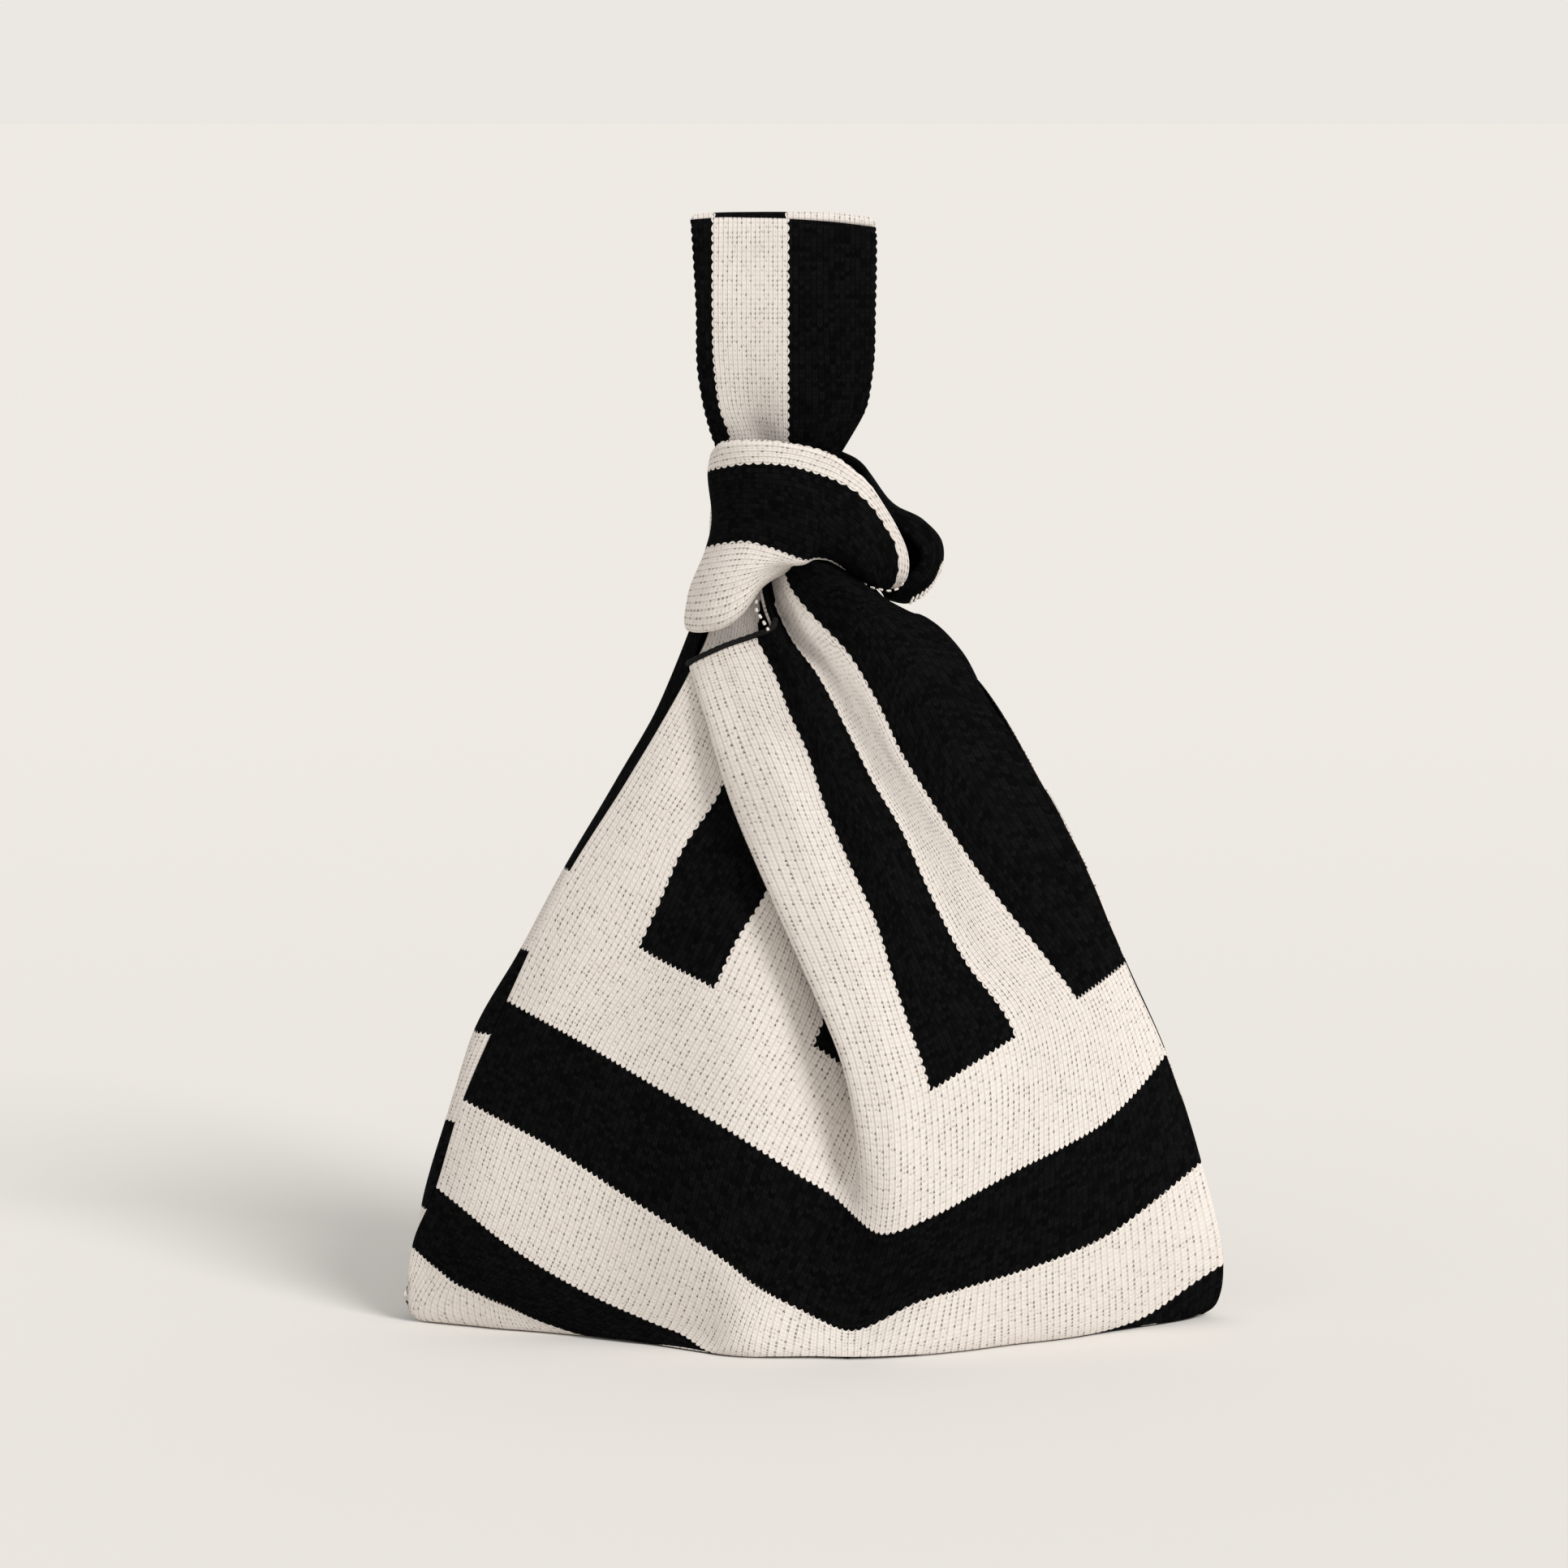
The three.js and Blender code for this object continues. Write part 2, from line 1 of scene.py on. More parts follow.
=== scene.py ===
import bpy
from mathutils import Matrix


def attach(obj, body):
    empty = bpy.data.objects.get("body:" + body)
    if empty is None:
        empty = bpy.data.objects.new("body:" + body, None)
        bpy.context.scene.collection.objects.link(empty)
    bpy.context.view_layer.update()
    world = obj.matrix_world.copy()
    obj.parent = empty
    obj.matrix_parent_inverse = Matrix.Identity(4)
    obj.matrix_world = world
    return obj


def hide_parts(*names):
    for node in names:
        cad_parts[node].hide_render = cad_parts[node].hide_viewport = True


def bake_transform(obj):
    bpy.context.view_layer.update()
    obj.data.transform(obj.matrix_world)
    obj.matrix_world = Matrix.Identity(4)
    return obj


bl_info = {
    "name": "Knitted knot bag",
    "version": (1, 0, 0),
    "blender": (4, 5, 0),
    "location": "3D View > Sidebar > Knot bag",
    "description": "Models a striped double-knit knot bag around its packed frame",
    "category": "Object",
}

import math

import bpy
import numpy as np
from mathutils import Vector

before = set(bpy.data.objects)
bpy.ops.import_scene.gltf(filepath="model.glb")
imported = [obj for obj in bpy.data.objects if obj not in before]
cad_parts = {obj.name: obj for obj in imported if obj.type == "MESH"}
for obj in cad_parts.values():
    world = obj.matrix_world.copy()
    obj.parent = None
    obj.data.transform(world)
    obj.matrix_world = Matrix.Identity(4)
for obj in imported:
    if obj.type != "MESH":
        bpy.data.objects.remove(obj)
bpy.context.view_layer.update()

MM = 0.001

# The photograph's frame and the view that it was taken from
FRAME_PX = 1932
MIDDLE_PX = 966
PIXEL = 0.28
VIEW_DISTANCE = 1800.0
VIEW_ELEVATION = math.radians(8)
VIEW_TARGET = np.array([-11.2, 0.0, 188.0])
SENSOR_WIDTH = 36.0
FORWARD = np.array([0.0, math.cos(VIEW_ELEVATION), -math.sin(VIEW_ELEVATION)])
UPWARD = np.array([0.0, math.sin(VIEW_ELEVATION), math.cos(VIEW_ELEVATION)])
VIEW_PLACE = VIEW_TARGET - VIEW_DISTANCE * FORWARD
KEY_SIDE = math.radians(46)
KEY_HEIGHT = math.radians(41)
KEY_ANGLE = math.radians(22)
KEY_DIRECTION = Vector((math.sin(KEY_SIDE) * math.cos(KEY_HEIGHT),
                        -math.cos(KEY_SIDE) * math.cos(KEY_HEIGHT),
                        math.sin(KEY_HEIGHT)))

# The flat cloth: one colour block is a unit wide and a unit high
BLOCK_WIDTH = 30.4
BLOCK_HEIGHT = 38.0
WALES = 16
COURSES = 24
SHORT_EDGE = 2.25
LONG_EDGE = 5.75
WIDTH_BLOCKS = 8.0
FRONT_SPLIT = 5
BACK_SPLIT = 6
HEM_ROW = 9.4
ROOT_ROWS = 0.65
SHOULDER_RUN = 1.6
LONG_ROOT_TOP = 9.8
BAND_ROW = 10.0
LOOP_ROW = 12.0
LOBE_ROW = 11.1
NEVER_ROW = 99.0
KNIT_MAP = "knit"

# Height, left seam, back's swell, right seam, front depth and back depth of the body
BODY_SECTIONS = np.array([
    (0, -127.2, -128.6, 126.5, 56.5, 50.5),
    (12, -135.6, -137.4, 134.6, 58, 56),
    (26.4, -139.5, -140.5, 139.7, 58.5, 58),
    (45.6, -134, -136.4, 136.8, 57, 56.3),
    (69.6, -125, -129.5, 130.5, 52.8, 51.6),
    (100.8, -113, -120, 119.4, 47, 45.2),
    (129.6, -101, -103.5, 105.9, 40.6, 38.3),
    (160.8, -84, -86.5, 93, 34.8, 31.9),
    (189.6, -66, -69, 76.4, 29.6, 26.7),
    (207.6, -54, -58.6, 66.2, 27, 23.5),
    (222, -43.7, -51.8, 58, 24.9, 20.9),
    (240, -36, -42.5, 45, 22, 16.8),
    (262, -32, -36.5, 40, 20, 16),
    (290, -26, -28, 34, 13, 13),
])
FRONT_PLAN_SHARES = ((-1, 0), (-0.93, 0.18), (-0.82, 0.33), (-0.66, 0.45), (-0.5, 0.59), (-0.27, 0.925),
                     (0, 1), (0.28, 0.96), (0.5, 0.76), (0.64, 0.62), (0.84, 0.38), (0.94, 0.2), (1, 0))
BACK_PLAN_SHARES = ((-0.96, 0.14), (-0.74, 0.52), (-0.4, 0.86), (0, 1), (0.4, 0.86), (0.76, 0.46),
                    (0.95, 0.12))
LEFT_SEAM_Y = -8.0
BASE_SEAM_LEFT = -124.0
BASE_SEAM_RIGHT = 122.0
BASE_SEAM_Z = 2.4
FLOOR_GAP = 0.6
CORNER_LIFT = 7.2
SEAM_INSET = np.array([4.5, 0.0, 0.0])
SEAM_BACK = np.array([0.0, 1.5, 0.0])
SEAM_TUCK = np.array([0.0, 3.2, -2.4])
NOSE_FADE = 1.3
NOSE_TURN = 0.2
NOSE_SPAN = 0.4
NOSE_FLAT = 0.1
THINNEST = 0.12
CORNER_PLACES = 0.5
CORNER_ROWS = 0.9
GATHER_ROW = 6.8
GATHER_ROWS = 1.3
RIM_STEPS = np.array([0.0, 0.12, 0.4, 0.8, 1.3])

# Wale lines of the front: place across, then row, photo x, photo y and depth behind the plain bulge
FRONT_LINES = (
    (0.0, ((0.2, 507, 1609, 0), (0.45, 502, 1583, 0), (1, 506, 1536, 0), (2, 535, 1462, 0),
           (3, 568, 1355, 0), (4, 622, 1233, 0), (5, 690, 1090, 0), (6, 770, 962, 0),
           (7.15, 848, 830, 0), (7.5, 871, 784, 2), (7.8, 882, 735, 4), (8.15, 890, 665, 4))),
    (0.3, ((0.3, 526, 1626, 0), (1, 528, 1556, 0), (2, 562, 1484, 0), (3, 599, 1372, 0),
           (4, 650, 1249, 0), (5, 719, 1113, 0), (6, 795, 981, 0), (7.15, 869, 843, 3),
           (7.5, 886, 806, 4.5), (8, 899, 734, 5), (8.4, 906, 665, 5))),
    (1.0, ((0.7, 598, 1635, 0), (1, 590, 1596, 0), (2, 625, 1535, 0), (3, 670, 1410, 0),
           (4, 715, 1285, 0), (5, 785, 1167, 0), (5.4, 812, 1109, 0), (5.85, 841, 1043, 2),
           (6.3, 880, 985, 5), (7.1, 915, 880, 8), (8.3, 932, 784, 8), (8.65, 936, 730, 8),
           (9, 940, 660, 8))),
    (2.0, ((0.85, 692, 1643, 0), (1, 680, 1634, 0), (2, 730, 1598, 0), (3, 775, 1478, 0),
           (4, 815, 1345, 0), (5, 881, 1220, 0.5), (5.45, 908, 1162, 2), (5.95, 944, 1103, 7),
           (6.8, 974, 1000, 11), (8, 984, 890, 12), (9.2, 993, 784, 11), (9.55, 993, 730, 10),
           (9.9, 990, 660, 10))),
    (2.6, ((1.35, 778, 1652, 0), (2, 802, 1630, 0), (3, 844, 1522, 0), (4, 884, 1386, 0),
           (4.5, 922, 1319, 1), (5, 952, 1262, 4), (5.4, 976, 1208, 8), (6, 992, 1136, 12),
           (7, 992, 1028, 14), (8, 990, 916, 13), (9.4, 1000, 780, 11), (10.1, 996, 690, 11))),
    (3.0, ((1.8, 838, 1661, 0), (2, 850, 1652, 0), (3, 890, 1553, 0), (4, 930, 1415, 1),
           (4.5, 962, 1352, 4), (5, 1000, 1288, 10), (5.28, 1014, 1252, 13), (6, 1012, 1170, 15),
           (7, 1000, 1050, 15), (8, 992, 935, 13), (9.4, 1002, 788, 11), (10.2, 998, 703, 11))),
    (3.45, ((2.1, 900, 1670, 0), (3, 930, 1585, 0), (4, 985, 1450, 4), (4.5, 1012, 1390, 9),
            (5, 1046, 1322, 14), (6, 1036, 1190, 15), (7, 1018, 1070, 14), (8, 998, 955, 12),
            (9.4, 992, 795, 12), (10.2, 992, 715, 12))),
    (3.85, ((2.35, 950, 1672, 0), (3, 965, 1605, 1), (4, 1030, 1478, 7), (4.5, 1050, 1425, 12),
            (5, 1068, 1352, 13), (6, 1042, 1215, 10), (7, 1008, 1090, 9), (8, 972, 970, 8),
            (9.4, 955, 805, 8), (10.2, 955, 725, 8))),
    (4.0, ((2.42, 975, 1672, 0), (3, 988, 1616, 1), (4, 1043, 1490, 5), (4.5, 1058, 1438, 6.5),
           (5, 1060, 1366, 6), (5.4, 1047, 1308, 5), (5.8, 1026, 1252, 4.5), (6.35, 995, 1182, 4),
           (7, 958, 1099, 4), (7.9, 912, 989, 4), (8.15, 902, 960, 4), (8.65, 882, 890, 4),
           (9.4, 862, 818, 6), (10.2, 852, 758, 6))),
    (4.15, ((2.5, 1000, 1672, 0), (3, 1005, 1625, 1), (4, 1053, 1500, 3), (4.5, 1057, 1440, 1.5),
            (5, 1050, 1368, -1), (5.4, 1036, 1308, -2), (5.8, 1014, 1252, -2), (6.35, 983, 1182, -2),
            (7, 946, 1099, -2), (7.9, 900, 989, -2), (8.15, 890, 960, -2), (8.65, 870, 890, -1),
            (9.4, 849, 820, 1), (10.2, 840, 760, 1))),
    (4.55, ((2.6, 1050, 1673, 0), (3, 1052, 1641, 0), (4, 1088, 1522, -1), (4.5, 1094, 1455, -5),
            (5, 1090, 1368, -6), (5.5, 1072, 1290, -7), (6, 1050, 1220, -7), (7, 1002, 1098, -7),
            (8, 952, 965, -6.5), (8.7, 912, 868, -5), (9.4, 888, 800, -2), (10.2, 870, 740, 0))),
    (5.0, ((2.45, 1110, 1671, 0), (3, 1125, 1608, 0), (4, 1150, 1500, 0), (4.5, 1150, 1424, -1.5),
           (5, 1144, 1346, -3), (5.68, 1116, 1258, -4.5), (6.09, 1099, 1205, -5),
           (6.6, 1079, 1139, -5), (7.19, 1046, 1066, -5), (7.75, 1016, 996, -5),
           (8.33, 991, 921, -4.5), (8.62, 974, 885, -4), (9.1, 951, 826, -2), (9.4, 930, 785, 0),
           (10.2, 905, 720, 2))),
    (5.5, ((2.35, 1180, 1665, 0), (3, 1190, 1588, 0), (4, 1205, 1470, 0), (5, 1200, 1312, -2.5),
           (6, 1140, 1190, -4), (7, 1080, 1055, -5), (8, 1020, 925, -5), (8.7, 988, 850, -4),
           (9.4, 951, 776, -1), (10.2, 930, 705, 2))),
    (6.0, ((2.2, 1250, 1656, 0), (3, 1250, 1570, 0), (4, 1260, 1440, 0), (5, 1253, 1278, 0),
           (5.9, 1185, 1175, 1), (6.55, 1145, 1096, 2), (7.1, 1112, 1023, 3), (7.65, 1075, 960, 3),
           (8.1, 1047, 904, 3), (8.7, 1008, 831, 4), (9.2, 972, 781, 7), (9.45, 955, 745, 9),
           (9.8, 945, 700, 9))),
    (6.5, ((2.1, 1312, 1649, 0), (3, 1312, 1548, 0), (4, 1312, 1414, 0), (5, 1292, 1255, 0),
           (6, 1211, 1140, 0), (7, 1140, 1022, 2), (8, 1073, 904, 2), (8.7, 1027, 819, 2),
           (9.15, 986, 770, 3), (9.4, 966, 738, 4), (9.8, 953, 695, 5))),
    (7.0, ((1.95, 1373, 1639, 0), (3, 1370, 1520, 0), (4, 1360, 1385, 0), (5, 1326, 1233, 0),
           (5.45, 1291, 1185, 0), (6.1, 1232, 1112, 0), (6.7, 1185, 1046, 0), (7.3, 1139, 976, 0),
           (7.75, 1109, 927, 0), (8.3, 1078, 862, 0), (8.8, 1038, 798, 1), (9.1, 1002, 761, 2),
           (9.35, 977, 731, 3), (9.8, 962, 690, 4))),
    (7.5, ((1.8, 1440, 1629, 0), (2, 1440, 1605, 0), (3, 1430, 1475, 0), (4, 1402, 1345, 0),
           (5, 1359, 1210, 0), (6, 1272, 1080, -2), (7, 1190, 950, -3), (8, 1128, 829, -4),
           (8.5, 1092, 780, -4), (9.1, 1050, 735, -4), (9.8, 1000, 690, -3))),
    (8.0, ((1.5, 1500, 1604, 0), (2, 1509, 1558, 0), (3, 1483, 1431, 0), (4, 1440, 1297, 0),
           (5, 1390, 1185, 0), (5.85, 1348, 1080, 0), (6.65, 1300, 985, 0), (7.4, 1247, 900, 0),
           (7.75, 1221, 862, 0), (8.3, 1187, 800, 0), (8.7, 1150, 764, 0), (8.95, 1124, 753, 0),
           (9.25, 1090, 735, 4), (9.8, 1050, 700, 8))),
)

# Rows and heights of the back at its sides and in its middle; places across and depths of its folds
BACK_HEIGHTS_LEFT = ((0.3, 3.5), (1, 14), (2, 39.8), (3, 70.6), (4, 101.4), (5, 130.8), (6, 158.8),
                     (7, 190), (8, 224), (8.45, 240), (9.1, 262), (10, 290))
BACK_HEIGHTS_MIDDLE = ((2.8, 4), (3, 11), (4, 46), (5, 82), (6, 118), (7, 154), (8, 190),
                       (9.4, 240), (10.1, 265))
BACK_HEIGHTS_RIGHT = ((1.2, 8), (2, 30), (3, 62), (4, 95), (5, 127), (6, 158), (7, 190), (8, 222),
                      (8.6, 242), (9.2, 262), (10, 290))
BACK_FOLDS = ((0.4, 0), (1.2, -1), (2.0, -4), (2.7, 2), (3.4, 5), (4.1, 1), (4.8, -4), (5.5, 3),
              (6.2, 5), (7.0, -2), (7.6, 0))
BACK_SIDE = 0.4
BACK_ROWS = (1, 2, 3, 4, 5, 6, 7, 8, HEM_ROW, 10.2)
BACK_FOLD_FROM = 70.0
BACK_FOLD_FULL = 215.0
PLEAT_PITCH = 1.0
PLEAT_DEPTH = 6.8
PLEAT_FROM = 190.0
PLEAT_FULL = 230.0

# Stations along the short handle's front half: photo x, photo y and depth for each place
BAND_PLACES = (2.25, 2.0, 1.5, 1.0, 0.5, 0.15, 0.0)
BAND_FRONT_STATIONS = (
    ((900, 585, 8), (900, 600, 8), (902, 645, 8), (900, 690, 7), (898, 735, 6), (896, 765, 4),
     (896, 770, 2)),
    ((875, 560, -6), (872, 580, -6), (877, 636, -8), (869, 677, -9), (847, 735, -12), (846, 776, -12),
     (858, 778, -7)),
    ((886, 546, -14), (892, 574, -15), (897, 622, -18), (892, 671, -20), (872, 732, -25),
     (866, 779, -22), (874, 776, -13)),
    ((915, 543, -19), (920, 570, -20), (922, 620, -23), (920, 669, -25), (900, 726, -29),
     (893, 773, -26), (898, 768, -17)),
    ((948, 543, -21), (948, 570, -22), (948, 622, -25.5), (945, 675, -27), (925, 716, -29),
     (916, 756, -26), (920, 750, -18)),
    ((985, 548, -21), (976, 573, -22.5), (976, 628, -26.5), (968, 683, -27), (950, 703, -26),
     (938, 724, -23), (943, 722, -16)),
    ((1018, 557, -20.5), (1004, 581, -22), (1004, 637, -26.5), (992, 691, -26), (978, 697, -22),
     (968, 703, -17), (972, 704, -13)),
    ((1046, 573, -20), (1033, 592, -22), (1021, 652, -26), (1007, 688, -21), (1002, 684, -15),
     (998, 681, -10), (998, 680, -7)),
    ((1072, 595, -18), (1057, 606, -20.5), (1036, 664, -25), (1021, 690, -19), (1016, 685, -14),
     (1012, 681, -9), (1012, 680, -6)),
    ((1091, 622, -15.5), (1077, 626, -18.5), (1050, 676, -23), (1033, 696, -17), (1028, 690, -12),
     (1024, 685, -7), (1024, 683, -4)),
    ((1108, 651, -12.5), (1092, 649, -16), (1061, 689, -20.5), (1041, 702, -15), (1036, 696, -10),
     (1032, 691, -5), (1032, 689, -2)),
    ((1119, 677, -10), (1103, 668, -14), (1069, 702, -18), (1048, 708, -13), (1043, 702, -8),
     (1038, 696, -3), (1038, 694, 0)),
    ((1122, 698, -8), (1108, 691, -12), (1074, 713, -15.5), (1054, 713, -10.5), (1049, 707, -6),
     (1043, 701, -2), (1043, 699, 1)),
    ((1118, 715, -6), (1106, 711, -9.5), (1078, 722, -12.5), (1058, 717, -8), (1053, 711, -4),
     (1048, 705, 0), (1048, 702, 3)),
    ((1106, 727, -2), (1098, 728, -5), (1078, 727, -8), (1063, 721, -6), (1058, 714, -2),
     (1052, 707, 2), (1052, 704, 5)),
)
BACK_BAND_PLACES = (2.25, 2.0, 1.6, 1.1, 0.5, 0.0)
BAND_BACK_STATIONS = (
    ((900, 572, 8), (899, 590, 8), (897, 620, 8), (896, 660, 8), (896, 712, 7), (898, 758, 5)),
    ((884, 562, 13), (881, 580, 16), (877, 612, 18), (874, 655, 18), (878, 712, 16), (884, 758, 11)),
    ((905, 552, 18), (903, 570, 22), (900, 602, 25), (898, 645, 26), (901, 710, 23), (905, 756, 16)),
    ((945, 547, 21), (944, 565, 24), (943, 598, 27), (942, 642, 28), (943, 705, 25), (945, 752, 18)),
    ((995, 547, 21), (995, 565, 24), (995, 598, 27), (995, 642, 28), (995, 702, 25), (992, 746, 19)),
    ((1038, 555, 14), (1043, 566, 19), (1047, 598, 25), (1052, 642, 28), (1050, 698, 27),
     (1046, 734, 22)),
    ((1066, 574, 6), (1074, 586, 11), (1082, 608, 19), (1090, 645, 25), (1084, 690, 28),
     (1076, 716, 26)),
    ((1091, 634, -3), (1100, 624, 1), (1109, 626, 9), (1114, 640, 18), (1106, 668, 26),
     (1092, 694, 27)),
    ((1119, 658, -5), (1133, 642, -2), (1142, 645, 7), (1142, 655, 17), (1128, 672, 25),
     (1106, 686, 26)),
    ((1138, 678, -6), (1156, 669, -2), (1162, 671, 7), (1158, 677, 17), (1140, 682, 24),
     (1114, 686, 26)),
    ((1138, 693, -6), (1155, 698, -2), (1161, 699, 7), (1156, 698, 16), (1138, 696, 23),
     (1112, 692, 25)),
    ((1128, 706, -6), (1141, 720, -3), (1147, 724, 6), (1143, 720, 15), (1128, 710, 21),
     (1104, 698, 23)),
    ((1109, 716, -5), (1117, 736, -2), (1121, 743, 6), (1118, 738, 14), (1106, 724, 19),
     (1088, 708, 21)),
    ((1080, 712, -1), (1085, 730, 1), (1088, 738, 6), (1086, 734, 12), (1078, 722, 16),
     (1068, 708, 18)),
)

# Stations up the wrist loop, front and back
LOOP_PLACES = (5.75, 6.0, 6.5, 7.0, 7.5, 8.0)
LOOP_FRONT_ROWS = (
    ((888, 600, -2), (905, 600, -4), (935, 600, -2), (965, 600, -5), (990, 600, -3), (1010, 600, 0)),
    ((882, 556, -3), (900, 556, -5), (936, 556, -3.5), (969, 556, -7), (1012, 566, -9),
     (1036, 562, -3)),
    ((876, 538, -4), (900, 538, -6), (934, 536, -4), (970, 540, -8), (1022, 540, -10), (1052, 536, -4)),
    ((868, 509, -6.5), (889, 507, -8), (929, 507, -6.5), (970, 508, -9), (1030, 506, -10.5),
     (1067, 508, -6)),
    ((860, 462, -9), (882, 462, -10), (926, 462, -10), (970, 462, -10.5), (1030, 462, -11),
     (1075, 462, -9)),
    ((858, 381, -10.5), (879, 381, -11), (925, 381, -11.4), (970, 381, -11.4), (1028, 381, -11.4),
     (1078, 381, -10.5)),
    ((855, 315, -8.5), (879, 315, -8.5), (925, 315, -8.7), (970, 315, -8.7), (1028, 316, -8.7),
     (1079, 318, -8.5)),
    ((853, 284, -7.2), (879, 283, -7.4), (925, 282, -7.5), (970, 282, -7.5), (1028, 285, -7.5),
     (1079, 289, -7.2)),
    ((852, 269, -5.6), (879, 267, -6), (925, 267, -6), (970, 268, -6), (1028, 272, -6),
     (1078, 278, -5.6)),
)
LOOP_BACK_ROWS = (
    ((888, 600, 2), (905, 600, 4), (935, 600, 2), (965, 600, 5), (990, 600, 3), (1010, 600, 2)),
    ((884, 556, 4), (902, 556, 6), (936, 556, 5), (969, 556, 8), (1008, 560, 8), (1034, 560, 4)),
    ((872, 509, 7), (892, 507, 9), (929, 507, 8), (970, 508, 10), (1028, 506, 11), (1065, 508, 7)),
    ((863, 462, 10), (884, 462, 10.5), (926, 462, 11), (970, 462, 11), (1030, 462, 11),
     (1074, 462, 9.5)),
    ((859, 381, 11), (880, 381, 11.4), (925, 381, 11.4), (970, 381, 11.4), (1028, 381, 11.4),
     (1077, 381, 11)),
    ((856, 315, 8.7), (880, 315, 8.7), (925, 315, 8.7), (970, 315, 8.7), (1028, 315, 8.7),
     (1077, 316, 8.7)),
    ((854, 284, 6.6), (879, 283, 6.8), (925, 282, 6.8), (970, 282, 6.8), (1028, 283, 6.8),
     (1077, 286, 6.6)),
    ((853, 268, 3), (879, 266, 3), (925, 265, 3), (970, 264, 3), (1028, 266, 3), (1077, 272, 3)),
    ((853, 264, -1), (879, 262, -1), (925, 261, -1), (970, 261, -1), (1028, 262, -1), (1076, 268, -1)),
    ((853, 266, -4.2), (879, 265, -4.6), (925, 265, -4.6), (970, 265, -4.6), (1028, 269, -4.6),
     (1077, 275, -4.2)),
)

# White stitches that show on the black edges, as photo x, photo y and depth of each end
STRAP_DASHES = (((932, 739, -17), (931, 744, -17)), ((931, 749, -17), (933, 754, -17)),
                ((935, 757, -17.5), (938, 762, -17.5)), ((940, 765, -18), (943, 770, -18)),
                ((945, 773, -18.5), (947, 777, -18.5)))
BAND_DASHES = (((1064, 719, -13), (1068, 721, -13)), ((1072, 723, -12.5), (1078, 725, -12)),
               ((1082, 726, -11.5), (1088, 727, -11)), ((1092, 728, -10), (1098, 728, -9)),
               ((1102, 727, -8), (1107, 725, -7)), ((1110, 722, -6.5), (1113, 718, -6.5)))
LOOP_STITCH_START = (1124, 741)
LOOP_STITCH_END = (1161, 697)
LOOP_STITCHES = 10


def along(knots, values, places):
    """The smooth curve through values at knots, read at every place, and straight on past its ends."""
    knots = np.asarray(knots, float)
    places = np.asarray(places, float)
    if values.ndim == 2:
        values = np.repeat(values[:, None, :], len(places), axis=1)
    steps = np.diff(knots)[:, None, None]
    rates = np.diff(values, axis=0) / steps
    inner = (rates[:-1] * steps[1:] + rates[1:] * steps[:-1]) / (steps[1:] + steps[:-1])
    slopes = np.concatenate([rates[:1], inner, rates[-1:]])
    held = places.clip(knots[0], knots[-1])
    low = np.searchsorted(knots, held, side="right").clip(1, len(knots) - 1) - 1
    rows = np.arange(len(places))
    width = (knots[low + 1] - knots[low])[:, None]
    t = (held - knots[low])[:, None] / width
    start, end = values[low, rows], values[low + 1, rows]
    leave, arrive = slopes[low, rows] * width, slopes[low + 1, rows] * width
    curve = ((2 * t ** 3 - 3 * t ** 2 + 1) * start + (t ** 3 - 2 * t ** 2 + t) * leave
             + (3 * t ** 2 - 2 * t ** 3) * end + (t ** 3 - t ** 2) * arrive)
    past = (places - held)[:, None]
    return curve + past * np.where(past < 0, slopes[0, rows], slopes[-1, rows])


def smooth_step(x):
    x = np.clip(x, 0, 1)
    return x * x * (3 - 2 * x)


def sight(px, py):
    """The direction in which the camera sees a pixel."""
    across = np.array([(px - MIDDLE_PX) * PIXEL, 0.0, 0.0])
    return VIEW_DISTANCE * FORWARD + across + (MIDDLE_PX - py) * PIXEL * UPWARD


def at_depth(px, py, y):
    ray = sight(px, py)
    return VIEW_PLACE + ray * ((y - VIEW_PLACE[1]) / ray[1])


def at_height(px, py, z):
    ray = sight(px, py)
    return VIEW_PLACE + ray * ((z - VIEW_PLACE[2]) / ray[2])


def section(z):
    return [float(np.interp(z, BODY_SECTIONS[:, 0], BODY_SECTIONS[:, k])) for k in range(1, 6)]


def seam_y(share):
    return LEFT_SEAM_Y * (1 - share) / 2


def body_y(x, z, plan, depth, side):
    left, _, right = section(z)[:3]
    share = float(np.clip((x - (left + right) / 2) / ((right - left) / 2), -1, 1))
    bulge = float(np.interp(share, *np.transpose(plan)))
    return seam_y(share) + (side * depth - seam_y(share)) * bulge


def on_front(px, py, behind):
    """The point of the front's bulge that the camera sees at a pixel, set back by behind."""
    y = -30.0
    for _ in range(8):
        x, _, z = at_depth(px, py, y)
        y = body_y(x, z, FRONT_PLAN_SHARES, section(z)[3], -1) + behind
    return at_depth(px, py, y)


def base_seam_point(place):
    share = 2 * place / WIDTH_BLOCKS - 1
    x = BASE_SEAM_LEFT + (BASE_SEAM_RIGHT - BASE_SEAM_LEFT) * place / WIDTH_BLOCKS
    return np.array([x, seam_y(share), BASE_SEAM_Z])


def turned_under(place, row, nose):
    """Rows and points of a wale line under the bag, from the base seam up to its nose."""
    seam = base_seam_point(place)
    under = seam + (nose - seam) * 0.72
    under[2] = FLOOR_GAP
    return [(0.0, seam), (row * 0.7, under)]


def front_lines():
    lines = []
    for place, marks in FRONT_LINES:
        points = [(row, on_front(px, py, behind)) for row, px, py, behind in marks]
        row, px, py, _ = marks[0]
        if 0 < place < WIDTH_BLOCKS:
            points[0] = (row, at_height(px, py, FLOOR_GAP))
        lines.append((place, turned_under(place, row, points[0][1]) + points))
    return lines


